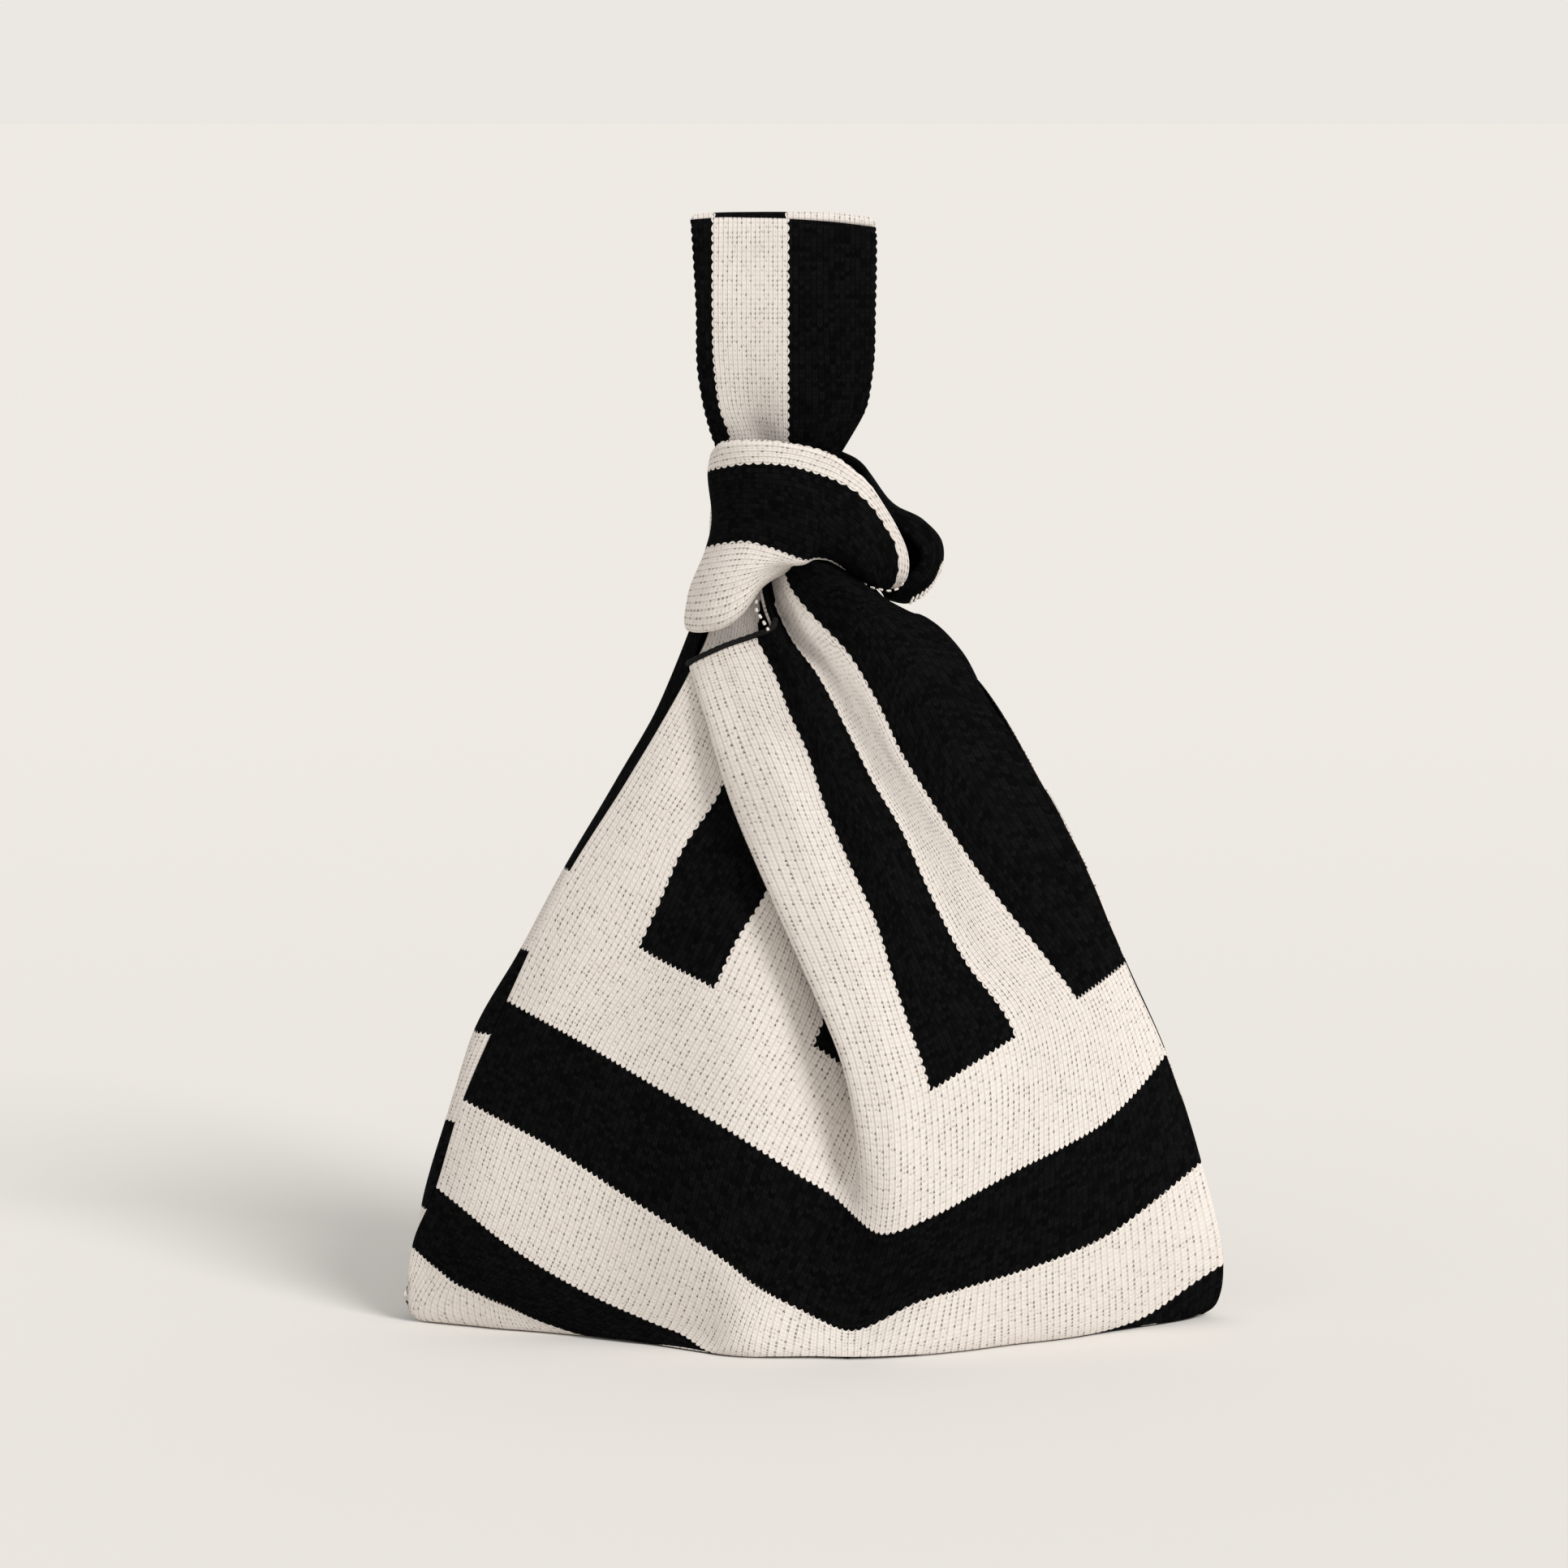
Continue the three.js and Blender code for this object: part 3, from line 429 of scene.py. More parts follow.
def surface(lines, places, rows, noses=None):
    """Points of the sheet through wale lines, at each pair of a place across and a row.

    noses holds the row of each line's nose, where it turns under the bag: noses are joined to noses."""
    marks = [place for place, _ in lines]
    read = []
    if noses is not None:
        nose = along(marks, np.array(noses, float)[:, None], places)[:, 0]
        above = 1 - smooth_step((rows - nose) / NOSE_FADE)
    for k, (_, points) in enumerate(lines):
        at = rows
        if noses is not None:
            at = np.where(rows < nose, rows * noses[k] / nose, rows + (noses[k] - nose) * above)
        read.append(along([row for row, _ in points], np.array([p for _, p in points]), at))
    points = along(marks, np.stack(read), places)
    points[:, 2] = np.maximum(points[:, 2], FLOOR_GAP)
    return points


def nose_rows(lines):
    """The row of each line's nose, the third of its points."""
    return [points[2][0] for _, points in lines]


def panel_rows(lines, top, places):
    """Rows of each place from the base seam to the panel's top, closest together round its nose."""
    noses = along([place for place, _ in lines], np.array(nose_rows(lines))[:, None], places)[:, 0]
    rim = 0.8 / BLOCK_HEIGHT
    near = RIM_STEPS * rim
    rows = []
    for place, nose in zip(places, noses):
        end = float(top(place))
        turn = min(NOSE_TURN, nose * 0.7)
        rows.append(np.concatenate([
            near, np.linspace(1.9 * rim, nose - turn, 22, endpoint=False),
            np.linspace(nose - turn, nose + NOSE_TURN, 36, endpoint=False),
            np.linspace(nose + NOSE_TURN, end - 1.9 * rim, 160), end - near[::-1]]))
    return rows


def back_height(place, row):
    """Height of the back at a place across and a row. Near the seams it doesn't change across."""
    left, middle, right = (along([r for r, _ in table], np.array([[z] for _, z in table], float),
                                 [row])[0, 0]
                           for table in (BACK_HEIGHTS_LEFT, BACK_HEIGHTS_MIDDLE, BACK_HEIGHTS_RIGHT))
    side = left + (right - left) * place / WIDTH_BLOCKS
    inner = np.clip((place - BACK_SIDE) / (WIDTH_BLOCKS - 2 * BACK_SIDE), 0, 1)
    return side + (middle - side) * math.sin(math.pi * inner)


def back_nose(place):
    """Row and height at which the back turns under the bag."""
    lowest = FLOOR_GAP + CORNER_LIFT * abs(2 * place / WIDTH_BLOCKS - 1) ** 10
    rows = np.linspace(0.25, 3, 276)
    row = next(r for r in rows if back_height(place, r) >= lowest)
    return float(row), lowest


def back_plan(z, seam_left, seam_right):
    """Places across the back at a height, by their run from the left seam, as shares of the whole run."""
    _, swell, _, _, depth = section(z)
    half = (seam_right[0] - swell) / 2
    turn = (seam_left[0] + 2 * swell) / 3
    knots = [seam_left[:2], (turn, LEFT_SEAM_Y / 2), (swell, 0.5)]
    knots += [(swell + half * (1 + share), out * depth) for share, out in BACK_PLAN_SHARES]
    knots = np.array([*knots, seam_right[:2]])
    run = np.concatenate([[0], np.cumsum(np.linalg.norm(np.diff(knots, axis=0), axis=1))])
    fine = along(run, knots, np.linspace(0, run[-1], 300))
    length = np.concatenate([[0], np.cumsum(np.linalg.norm(np.diff(fine, axis=0), axis=1))])
    return length / length[-1], fine


def back_lines():
    seams = front_lines()

    def on_seam(points, z):
        heights = [p[2] for _, p in points[1:]]
        return np.array([np.interp(z, heights, [p[k] for _, p in points[1:]]) for k in range(3)])

    lines = []
    fold_places, fold_depths = np.transpose(BACK_FOLDS)
    inner = np.arange(BACK_SIDE, WIDTH_BLOCKS - 0.3, PLEAT_PITCH / 4)
    for place in (0.0, BACK_SIDE / 2, *inner, WIDTH_BLOCKS):
        fold = float(np.interp(place, fold_places, fold_depths))
        low_row, low_z = back_nose(place)
        points = []
        for row in (low_row, *(r for r in BACK_ROWS if r > low_row + 0.3)):
            z = low_z if row == low_row else back_height(place, row)
            shares, plan = back_plan(z, on_seam(seams[0][1], z), on_seam(seams[-1][1], z))
            x, y = (float(np.interp(place / WIDTH_BLOCKS, shares, plan[:, k])) for k in range(2))
            if inner[0] < place < WIDTH_BLOCKS:
                grown = smooth_step((z - BACK_FOLD_FROM) / (BACK_FOLD_FULL - BACK_FOLD_FROM))
                pleated = smooth_step((z - PLEAT_FROM) / (PLEAT_FULL - PLEAT_FROM))
                wave = math.cos(2 * math.pi * (place - inner[0]) / PLEAT_PITCH)
                y += fold * grown - PLEAT_DEPTH * pleated * wave
            points.append((row, np.array([x, y, z])))
        lines.append((place, turned_under(place, low_row, points[0][1]) + points))
    return lines


def station_lines(places, stations, start):
    """Wale lines of a strap from its stations. Rows count up from start as the strap's middle runs on."""
    points = np.array([[at_depth(*mark) for mark in marks] for marks in stations])
    if places[0] > places[-1]:
        places, points = places[::-1], points[:, ::-1]
    steps = np.linalg.norm(np.diff(points, axis=0), axis=2).mean(1)
    rows = start + np.concatenate([[0], np.cumsum(steps)]) / BLOCK_HEIGHT
    return [(place, list(zip(rows, points[:, k]))) for k, place in enumerate(places)]


def last_row(lines):
    return lines[0][1][-1][0]


def edge_spread(start, end, count, rim):
    """Places from start to end, even in the middle and close together at both edges."""
    near = RIM_STEPS * rim
    inner = np.linspace(start + 1.9 * rim, end - 1.9 * rim, count)
    return np.concatenate([start + near, inner, (end - near)[::-1]])


def knit_sheet(context, name, lines, places, rows, materials, outward, scallop=0.0, noses=None,
               joined_top=(), joined_foot=False, gathered=False):
    """A knitted sheet through wale lines. rows gives the rows of each place; the rims are rounded."""
    sizes = context.scene.knot_bag_sizes
    thickness = sizes.knit / MM
    bpy.ops.object.select_all(action="DESELECT")
    bpy.ops.mesh.primitive_grid_add(x_subdivisions=len(places) - 1, y_subdivisions=len(rows[0]) - 1,
                                    size=1)
    piece = context.active_object
    piece.name = piece.data.name = name
    mesh = piece.data
    across, down = len(places), len(rows[0])
    flat_place = np.tile(np.asarray(places), down)
    flat_row = np.asarray(rows).T.reshape(-1)
    bent = flat_place.copy()
    if scallop:
        bump = np.abs(np.sin(np.pi * flat_row * COURSES / 2))
        bent[flat_place == places[0]] -= scallop * bump[flat_place == places[0]]
        bent[flat_place == places[-1]] += scallop * bump[flat_place == places[-1]]
    points = surface(lines, bent, flat_row, noses)
    mesh.vertices.foreach_set("co", (points * MM).ravel())
    mesh.update()
    facing = sum((f.normal.dot(outward) * f.area for f in mesh.polygons))
    if facing < 0:
        mesh.flip_normals()
    normals = np.zeros(len(mesh.vertices) * 3)
    mesh.vertex_normals.foreach_get("vector", normals)
    full = np.ones(len(points))
    if noses is not None:
        nose = along([place for place, _ in lines], np.array(noses, float)[:, None], flat_place)[:, 0]
        side = np.minimum(flat_place - places[0], places[-1] - flat_place)
        from_corner = np.hypot(side / CORNER_PLACES, (flat_row - nose).clip(0) / CORNER_ROWS)
        full = smooth_step((np.abs(flat_row - nose) - NOSE_FLAT) / NOSE_SPAN) * smooth_step(from_corner)
    if gathered:
        full = full * (1 - smooth_step((flat_row - GATHER_ROW) / GATHER_ROWS))
    depth = (THINNEST + (1 - THINNEST) * full) * thickness / 2
    points = points - normals.reshape(-1, 3) * depth[:, None]
    mesh.vertices.foreach_set("co", (points * MM).ravel())
    mesh.update()
    layer = mesh.uv_layers[0] if mesh.uv_layers else mesh.uv_layers.new()
    layer.name = KNIT_MAP
    corners = np.zeros(len(mesh.loops), int)
    mesh.loops.foreach_get("vertex_index", corners)
    flat = np.stack([flat_place, flat_row], 1)
    layer.uv.foreach_set("vector", flat[corners].ravel())
    group = piece.vertex_groups.new(name="Full")
    half = thickness / 2
    gap = np.minimum(flat_place - places[0], places[-1] - flat_place) * BLOCK_WIDTH
    row_low, row_high = np.asarray(rows).min(1), np.asarray(rows).max(1)
    low_gap = (flat_row - np.tile(row_low, down)) * BLOCK_HEIGHT
    high_gap = (np.tile(row_high, down) - flat_row) * BLOCK_HEIGHT
    for start, end in joined_top:
        high_gap[(flat_place >= start) & (flat_place <= end)] = BLOCK_HEIGHT
    if joined_foot:
        low_gap[:] = BLOCK_HEIGHT
    gap = np.minimum(gap, np.minimum(low_gap, high_gap))
    weight = full * np.sqrt(1 - (1 - (gap / half).clip(0, 1)) ** 2)
    for level in np.unique(weight.round(2)):
        members = np.nonzero(weight.round(2) == level)[0]
        group.add([int(m) for m in members], float(level), "REPLACE")
    for material in materials:
        mesh.materials.append(material)
    solid = piece.modifiers.new("Thickness", "SOLIDIFY")
    solid.thickness = sizes.knit
    solid.offset = 0
    solid.vertex_group = "Full"
    solid.thickness_vertex_group = THINNEST
    solid.material_offset = 1
    solid.material_offset_rim = 0
    bpy.ops.object.modifier_apply(modifier=solid.name)
    piece.vertex_groups.clear()
    bpy.ops.object.shade_smooth()
    return piece


def row_grid(low, high, places, count):
    """Rows of each place from its lowest to its highest, close together at both ends."""
    return [edge_spread(float(low(p)), float(high(p)), count, 0.8 / BLOCK_HEIGHT) for p in places]


def chain(context, name, points, radius, pitch, material, sides=3):
    """A knitted chain edge: a tube through points that swells at every stitch."""
    points = np.asarray(points)
    run = np.concatenate([[0], np.cumsum(np.linalg.norm(np.diff(points, axis=0), axis=1))])
    count = max(8, int(run[-1] / pitch * 6))
    at = np.linspace(0, run[-1], count)
    places = along(run, points, at)
    swell = 0.82 + 0.18 * np.abs(np.sin(np.pi * at / pitch))
    swell[0] = swell[-1] = 0.35
    curve = bpy.data.curves.new(name, "CURVE")
    curve.dimensions = "3D"
    curve.bevel_depth = radius * MM
    curve.bevel_resolution = sides
    curve.use_fill_caps = True
    spline = curve.splines.new("POLY")
    spline.points.add(count - 1)
    for point, place, size in zip(spline.points, places, swell):
        point.co = (*(place * MM), 1)
        point.radius = float(size)
    piece = bpy.data.objects.new(name, curve)
    context.collection.objects.link(piece)
    bpy.ops.object.select_all(action="DESELECT")
    piece.select_set(True)
    context.view_layer.objects.active = piece
    bpy.ops.object.convert(target="MESH")
    piece.data.materials.clear()
    piece.data.materials.append(material)
    bpy.ops.object.shade_smooth()
    return piece


def joined(context, name, pieces):
    bpy.ops.object.select_all(action="DESELECT")
    for piece in pieces:
        piece.select_set(True)
    context.view_layer.objects.active = pieces[0]
    bpy.ops.object.join()
    pieces[0].name = pieces[0].data.name = name
    return pieces[0]


class Wiring:
    """Short calls for the nodes of one tree."""

    def __init__(self, tree):
        self.tree = tree

    def node(self, kind, inputs=(), **settings):
        node = self.tree.nodes.new(kind)
        for key, value in settings.items():
            setattr(node, key, value)
        for key, value in dict(inputs).items():
            self.feed(node.inputs[key], value)
        return node

    def feed(self, socket, value):
        if isinstance(value, bpy.types.NodeSocket):
            self.tree.links.new(value, socket)
        else:
            socket.default_value = value

    def math(self, operation, *values):
        return self.node("ShaderNodeMath", enumerate(values), operation=operation).outputs[0]

    def blend(self, factor, start, end):
        node = self.node("ShaderNodeMix", data_type="RGBA")
        self.feed(node.inputs[0], factor)
        self.feed(node.inputs[6], start)
        self.feed(node.inputs[7], end)
        return node.outputs[2]

    def fade(self, value, low, high, start=0.0, end=1.0):
        node = self.node("ShaderNodeMapRange", interpolation_type="SMOOTHSTEP")
        for key, given in zip(range(5), (value, low, high, start, end)):
            self.feed(node.inputs[key], given)
        return node.outputs[0]


def knit_group():
    """Double jacquard: two slanted legs to a stitch, colours by block, holes between the legs, with
    painted shade in the grooves and holes and a painted highlight on the dark legs.
    """
    name = "Double knit"
    if name in bpy.data.node_groups:
        return bpy.data.node_groups[name]
    tree = bpy.data.node_groups.new(name, "ShaderNodeTree")
    face = tree.interface
    for label, kind, value in (("Split row", "NodeSocketFloat", FRONT_SPLIT),
                               ("Reverse", "NodeSocketFloat", 0),
                               ("Dark from row", "NodeSocketFloat", NEVER_ROW),
                               ("Light yarn", "NodeSocketColor", (0.8, 0.7, 0.6, 1)),
                               ("Dark yarn", "NodeSocketColor", (0.01, 0.01, 0.01, 1))):
        face.new_socket(label, in_out="INPUT", socket_type=kind).default_value = value
    for label, kind in (("Color", "NodeSocketColor"), ("Height", "NodeSocketFloat"),
                        ("Roughness", "NodeSocketFloat")):
        face.new_socket(label, in_out="OUTPUT", socket_type=kind)
    w = Wiring(tree)
    given = w.node("NodeGroupInput").outputs
    flat = w.node("ShaderNodeSeparateXYZ", {0: w.node("ShaderNodeUVMap",
                                                      uv_map=KNIT_MAP).outputs[0]}).outputs
    wale = w.math("MULTIPLY", flat[0], WALES)
    course = w.math("MULTIPLY", flat[1], COURSES)
    aside = w.math("MULTIPLY", w.math("ABSOLUTE", w.math("SUBTRACT", w.math("FRACT", wale), 0.5)), 2)
    slanted = w.math("SUBTRACT", course, w.math("MULTIPLY", w.math("POWER", aside, 1.7), 0.66))
    wale_number = w.math("FLOOR", wale)
    course_number = w.math("FLOOR", slanted)
    leg = w.math("FRACT", slanted)
    block_across = w.math("FLOOR", w.math("DIVIDE", w.math("ADD", wale_number, 0.5), WALES))
    stitch_row = w.math("DIVIDE", w.math("ADD", course_number, 0.5), COURSES)
    block_up = w.math("FLOOR", stitch_row)
    low = w.math("LESS_THAN", stitch_row, given["Split row"])
    striped = w.math("SUBTRACT", 1, low)
    block = w.math("ADD", w.math("MULTIPLY", block_up, low), w.math("MULTIPLY", block_across, striped))
    odd = w.math("FLOORED_MODULO", block, 2)

    border = w.math("ROUND", flat[0])
    from_border = w.math("MULTIPLY", w.math("ABSOLUTE", w.math("SUBTRACT", flat[0], border)), WALES)
    lobe = w.math("MULTIPLY", w.math("ABSOLUTE",
                                     w.math("SINE", w.math("MULTIPLY", course, math.pi / 2))), 0.42)
    inner = w.math("LESS_THAN", w.math("ABSOLUTE", w.math("SUBTRACT", border, WIDTH_BLOCKS / 2)), 3.5)
    lobed = w.math("MULTIPLY", w.math("MULTIPLY", w.math("LESS_THAN", from_border, lobe), inner),
                   striped)
    dark = w.math("ABSOLUTE", w.math("SUBTRACT", odd, given["Reverse"]))
    dark = w.math("MULTIPLY", dark, w.math("SUBTRACT", 1, lobed))
    # From the Dark from row on, every stitch is coloured dark yarn, over the stripes
    dark = w.math("MAXIMUM", dark, w.math("GREATER_THAN", stitch_row, given["Dark from row"]))

    cell = w.node("ShaderNodeCombineXYZ", {0: wale_number, 1: course_number}).outputs[0]
    chance = w.node("ShaderNodeTexWhiteNoise", {"Vector": cell}, noise_dimensions="3D").outputs
    hole_cell = w.node("ShaderNodeCombineXYZ", {0: w.math("ROUND", wale), 1: course_number,
                                                2: 7.0}).outputs[0]
    hole_chance = w.node("ShaderNodeTexWhiteNoise", {"Vector": hole_cell},
                         noise_dimensions="3D").outputs
    spot = w.node("ShaderNodeCombineXYZ", {0: wale, 1: course}).outputs[0]
    tone = w.node("ShaderNodeTexNoise", {"Vector": spot, "Scale": 0.09, "Detail": 3.0,
                                         "Roughness": 0.6}).outputs[0]
    fibre = w.node("ShaderNodeTexNoise", {"Vector": spot, "Scale": 1.1, "Detail": 2.0,
                                          "Roughness": 0.6}).outputs[0]

    # Relief of each stitch: it drives the bump, and also the painted shade and painted highlight below
    crease = w.math("MULTIPLY", w.fade(aside, 0.3, 0.0), 0.24)
    gap = w.math("MULTIPLY", w.fade(aside, 0.62, 1.0), 0.6)
    from_leg = w.math("ABSOLUTE", w.math("SUBTRACT", w.math("MULTIPLY", leg, 2), 1))
    stitch = w.math("SUBTRACT", 1, w.math("MULTIPLY", w.math("POWER", from_leg, 4), 0.4))
    body = w.math("MULTIPLY", w.math("SUBTRACT", w.math("SUBTRACT", 1, crease), gap), stitch)

    def pit(x, x_middle, x_reach, y, y_middle, y_reach):
        dx = w.math("DIVIDE", w.math("SUBTRACT", x, x_middle), x_reach)
        dy = w.math("DIVIDE", w.math("SUBTRACT", y, y_middle), y_reach)
        away = w.math("ADD", w.math("MULTIPLY", dx, dx), w.math("MULTIPLY", dy, dy))
        return w.fade(away, 1.0, 0.3)

    open_chance = w.math("ADD", hole_chance[0], w.math("MULTIPLY", w.math("SUBTRACT", tone, 0.5), 0.8))
    side_pit = w.math("MULTIPLY", pit(aside, 1.0, 0.4, leg, 0.55, 0.3),
                      w.fade(open_chance, 0.25, 1.05, 0.1, 1.0))
    middle_pit = w.math("MULTIPLY", pit(aside, 0.0, 0.3, leg, 0.2, 0.2),
                        w.fade(chance[0], 0.7, 1.0, 0.0, 0.5))
    hole = w.math("MAXIMUM", side_pit, middle_pit)

    warmth = w.math("ADD", w.math("MULTIPLY", chance[0], 0.2), w.math("MULTIPLY", fibre, 0.35))
    light = w.blend(warmth, given["Light yarn"], (0.70, 0.62, 0.54, 1))
    # Painted shade: the light yarn is darkened to warm grey where the relief is low, in the creases and
    # gaps between the legs and at the legs' ends
    light = w.blend(w.math("MULTIPLY", w.math("SUBTRACT", 1, body), 0.34), light,
                    (0.48, 0.415, 0.355, 1))
    # Painted shade in the holes between the legs: the light yarn is darkened to dark brown there
    light = w.blend(w.math("MULTIPLY", hole, 0.85), light, (0.08, 0.063, 0.052, 1))
    # Painted highlight: the dark yarn is lightened to charcoal on the raised legs, stronger on some
    # stitches than on others at random
    dark_yarn_with_painted_highlight = w.blend(w.math("MULTIPLY", w.math("MULTIPLY", body, chance[0]), 0.5), given["Dark yarn"],
                  (0.0125, 0.0123, 0.0128, 1))
    w.node("NodeGroupOutput", {
        0: w.blend(dark, light, dark_yarn_with_painted_highlight),
        1: w.math("SUBTRACT", body, w.math("MULTIPLY", hole, 0.6)),
        2: w.math("SUBTRACT", 0.95, w.math("MULTIPLY", body, 0.12)),
    })
    return tree


def knit_material(context, name, split, reverse, dark_from=NEVER_ROW):
    if name in bpy.data.materials:
        return bpy.data.materials[name]
    colours = context.scene.knot_bag_colours
    material = bpy.data.materials.new(name)
    material.use_nodes = True
    tree = material.node_tree
    w = Wiring(tree)
    shader = tree.nodes["Principled BSDF"]
    group = w.node("ShaderNodeGroup", node_tree=knit_group())
    group.inputs["Split row"].default_value = split
    group.inputs["Reverse"].default_value = reverse
    group.inputs["Dark from row"].default_value = dark_from
    group.inputs["Light yarn"].default_value = (*colours.light_yarn, 1)
    group.inputs["Dark yarn"].default_value = (*colours.dark_yarn, 1)
    bump = w.node("ShaderNodeBump", {"Height": group.outputs["Height"]})
    bump.inputs["Distance"].default_value = 0.00045
    bump.inputs["Strength"].default_value = 0.75
    w.feed(shader.inputs["Base Color"], group.outputs["Color"])
    w.feed(shader.inputs["Roughness"], group.outputs["Roughness"])
    w.feed(shader.inputs["Normal"], bump.outputs[0])
    shader.inputs["Specular IOR Level"].default_value = 0.01
    return material


def thread_material(context, name, colour, fleck):
    """Twisted thread: fine slanted strands with a little fleck."""
    if name in bpy.data.materials:
        return bpy.data.materials[name]
    material = bpy.data.materials.new(name)
    material.use_nodes = True
    tree = material.node_tree
    w = Wiring(tree)
    shader = tree.nodes["Principled BSDF"]
    place = w.node("ShaderNodeTexCoord").outputs["Object"]
    strands = w.node("ShaderNodeTexWave", {"Vector": place, "Scale": 420.0, "Distortion": 2.0,
                                           "Detail": 1.0},
                     bands_direction="DIAGONAL").outputs[1]
    grain = w.node("ShaderNodeTexNoise", {"Vector": place, "Scale": 900.0, "Detail": 2.0}).outputs[0]
    w.feed(shader.inputs["Base Color"], w.blend(w.math("MULTIPLY", grain, 0.5), (*colour, 1),
                                                (*fleck, 1)))
    w.feed(shader.inputs["Roughness"], w.math("ADD", 0.8, w.math("MULTIPLY", grain, 0.15)))
    bump = w.node("ShaderNodeBump", {"Height": strands})
    bump.inputs["Distance"].default_value = 0.0003
    bump.inputs["Strength"].default_value = 0.5
    w.feed(shader.inputs["Normal"], bump.outputs[0])
    shader.inputs["Specular IOR Level"].default_value = 0.25
    return material


def front_faces(context):
    return [knit_material(context, "Knit, light foremost", FRONT_SPLIT, 0),
            knit_material(context, "Knit, light foremost, inside", FRONT_SPLIT, 1)]


def back_faces(context):
    return [knit_material(context, "Knit, dark foremost", BACK_SPLIT, 1),
            knit_material(context, "Knit, dark foremost, inside", BACK_SPLIT, 0)]


def lobe_faces(context):
    """The back of the short handle, whose far end, the lobe at the right of the knot, is coloured all
    dark on both faces, over its stripes.
    """
    return [knit_material(context, "Knit, dark foremost, knot", BACK_SPLIT, 1, LOBE_ROW),
            knit_material(context, "Knit, dark foremost, knot, inside", BACK_SPLIT, 0, LOBE_ROW)]


def dark_thread(context):
    return thread_material(context, "Dark thread", tuple(context.scene.knot_bag_colours.dark_yarn),
                           (0.016, 0.016, 0.017))


def light_thread(context):
    return thread_material(context, "Light thread", tuple(context.scene.knot_bag_colours.light_yarn),
                           (0.6, 0.5, 0.4))


def panel_top(root_row, shoulder_row):
    """The row at which a panel ends: the mouth's hem between the roots of its handles."""
    def top(place):
        left = min(1.0, place / SHORT_EDGE)
        right = smooth_step((place - LONG_EDGE) / SHOULDER_RUN)
        row = root_row + (HEM_ROW - root_row) * left
        return row + (shoulder_row - row) * right
    return top


FRONT_TOP = panel_top(7.5, 8.7)
BACK_TOP = panel_top(8.4, 8.6)


def root_pieces(context, name, lines, top, faces, outward, short):
    if short:
        places = edge_spread(0.0, SHORT_EDGE, 24, 0.8 / BLOCK_WIDTH)
        rows = row_grid(top, lambda p: top(p) + ROOT_ROWS, places, 60)
    else:
        places = edge_spread(LONG_EDGE, WIDTH_BLOCKS, 24, 0.8 / BLOCK_WIDTH)
        rows = row_grid(top, lambda p: LONG_ROOT_TOP, places, 60)
    return knit_sheet(context, name, lines, places, rows, faces, outward, joined_foot=True,
                      gathered=outward.y > 0)


class KNOTBAG_OT_front_panel(bpy.types.Operator):
    """Front panel, with the deep fold that runs down from the mouth"""
    bl_idname = "knotbag.front_panel"
    bl_label = "Front panel"

    def execute(self, context):
        places = edge_spread(0.0, WIDTH_BLOCKS, 150, 0.8 / BLOCK_WIDTH)
        lines = front_lines()
        rows = panel_rows(lines, FRONT_TOP, places)
        piece = knit_sheet(context, "front_panel_cloth", lines, places, rows, front_faces(context),
                           Vector((0, -1, 0)), noses=nose_rows(lines),
                           joined_top=((0, SHORT_EDGE), (LONG_EDGE, WIDTH_BLOCKS)))
        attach(piece, "bag")
        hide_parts("front_panel")
        return {"FINISHED"}


class KNOTBAG_OT_back_panel(bpy.types.Operator):
    """Back panel in the reverse colours"""
    bl_idname = "knotbag.back_panel"
    bl_label = "Back panel"

    def execute(self, context):
        places = edge_spread(0.0, WIDTH_BLOCKS, 140, 0.8 / BLOCK_WIDTH)
        lines = back_lines()
        rows = panel_rows(lines, BACK_TOP, places)
        piece = knit_sheet(context, "back_panel_cloth", lines, places, rows, back_faces(context),
                           Vector((0, 1, 0)), noses=nose_rows(lines), gathered=True,
                           joined_top=((0, SHORT_EDGE), (LONG_EDGE, WIDTH_BLOCKS)))
        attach(piece, "bag")
        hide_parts("back_panel")
        return {"FINISHED"}


class KNOTBAG_OT_handle_roots(bpy.types.Operator):
    """Roots of both handles, which rise from the panels into the knot"""
    bl_idname = "knotbag.handle_roots"
    bl_label = "Handle roots"

    def execute(self, context):
        for side, lines, top, faces, outward, slot in (
                ("front", front_lines(), FRONT_TOP, front_faces(context), Vector((0, -1, 0)),
                 "cream_face_knit"),
                ("back", back_lines(), BACK_TOP, back_faces(context), Vector((0, 1, 0)),
                 "black_face_knit")):
            short = root_pieces(context, f"short_handle_root_{side}", lines, top, faces, outward, True)
            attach(short, "bag")
            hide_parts(f"short_shoulder_{side}")
            long = root_pieces(context, f"long_handle_root_{side}", lines, top, faces, outward, False)
            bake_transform(long)
            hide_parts(f"long_shoulder_{side}", f"throat_{side}")
        return {"FINISHED"}


class KNOTBAG_OT_band(bpy.types.Operator):
    """The short handle's loop, wrapped round the long handle"""
    bl_idname = "knotbag.band"
    bl_label = "Short handle's loop"

    def execute(self, context):
        places = edge_spread(0.0, SHORT_EDGE, 44, 0.8 / BLOCK_WIDTH)
        for side, stations, marks, faces, outward, slot in (
                ("front", BAND_FRONT_STATIONS, BAND_PLACES, front_faces(context), Vector((0, -1, 0)),
                 "cream_face_knit"),
                ("back", BAND_BACK_STATIONS, BACK_BAND_PLACES, lobe_faces(context), Vector((0, 1, 0)),
                 "black_face_knit")):
            low = BAND_ROW
            lines = station_lines(marks, stations, low)
            high = last_row(lines)
            rows = row_grid(lambda p: low, lambda p: high, places, 380)
            piece = knit_sheet(context, f"short_handle_band_{side}", lines, places, rows, faces,
                               outward, scallop=0.014)
            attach(piece, "short_loop")
            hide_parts(f"short_band_{side}")
        return {"FINISHED"}


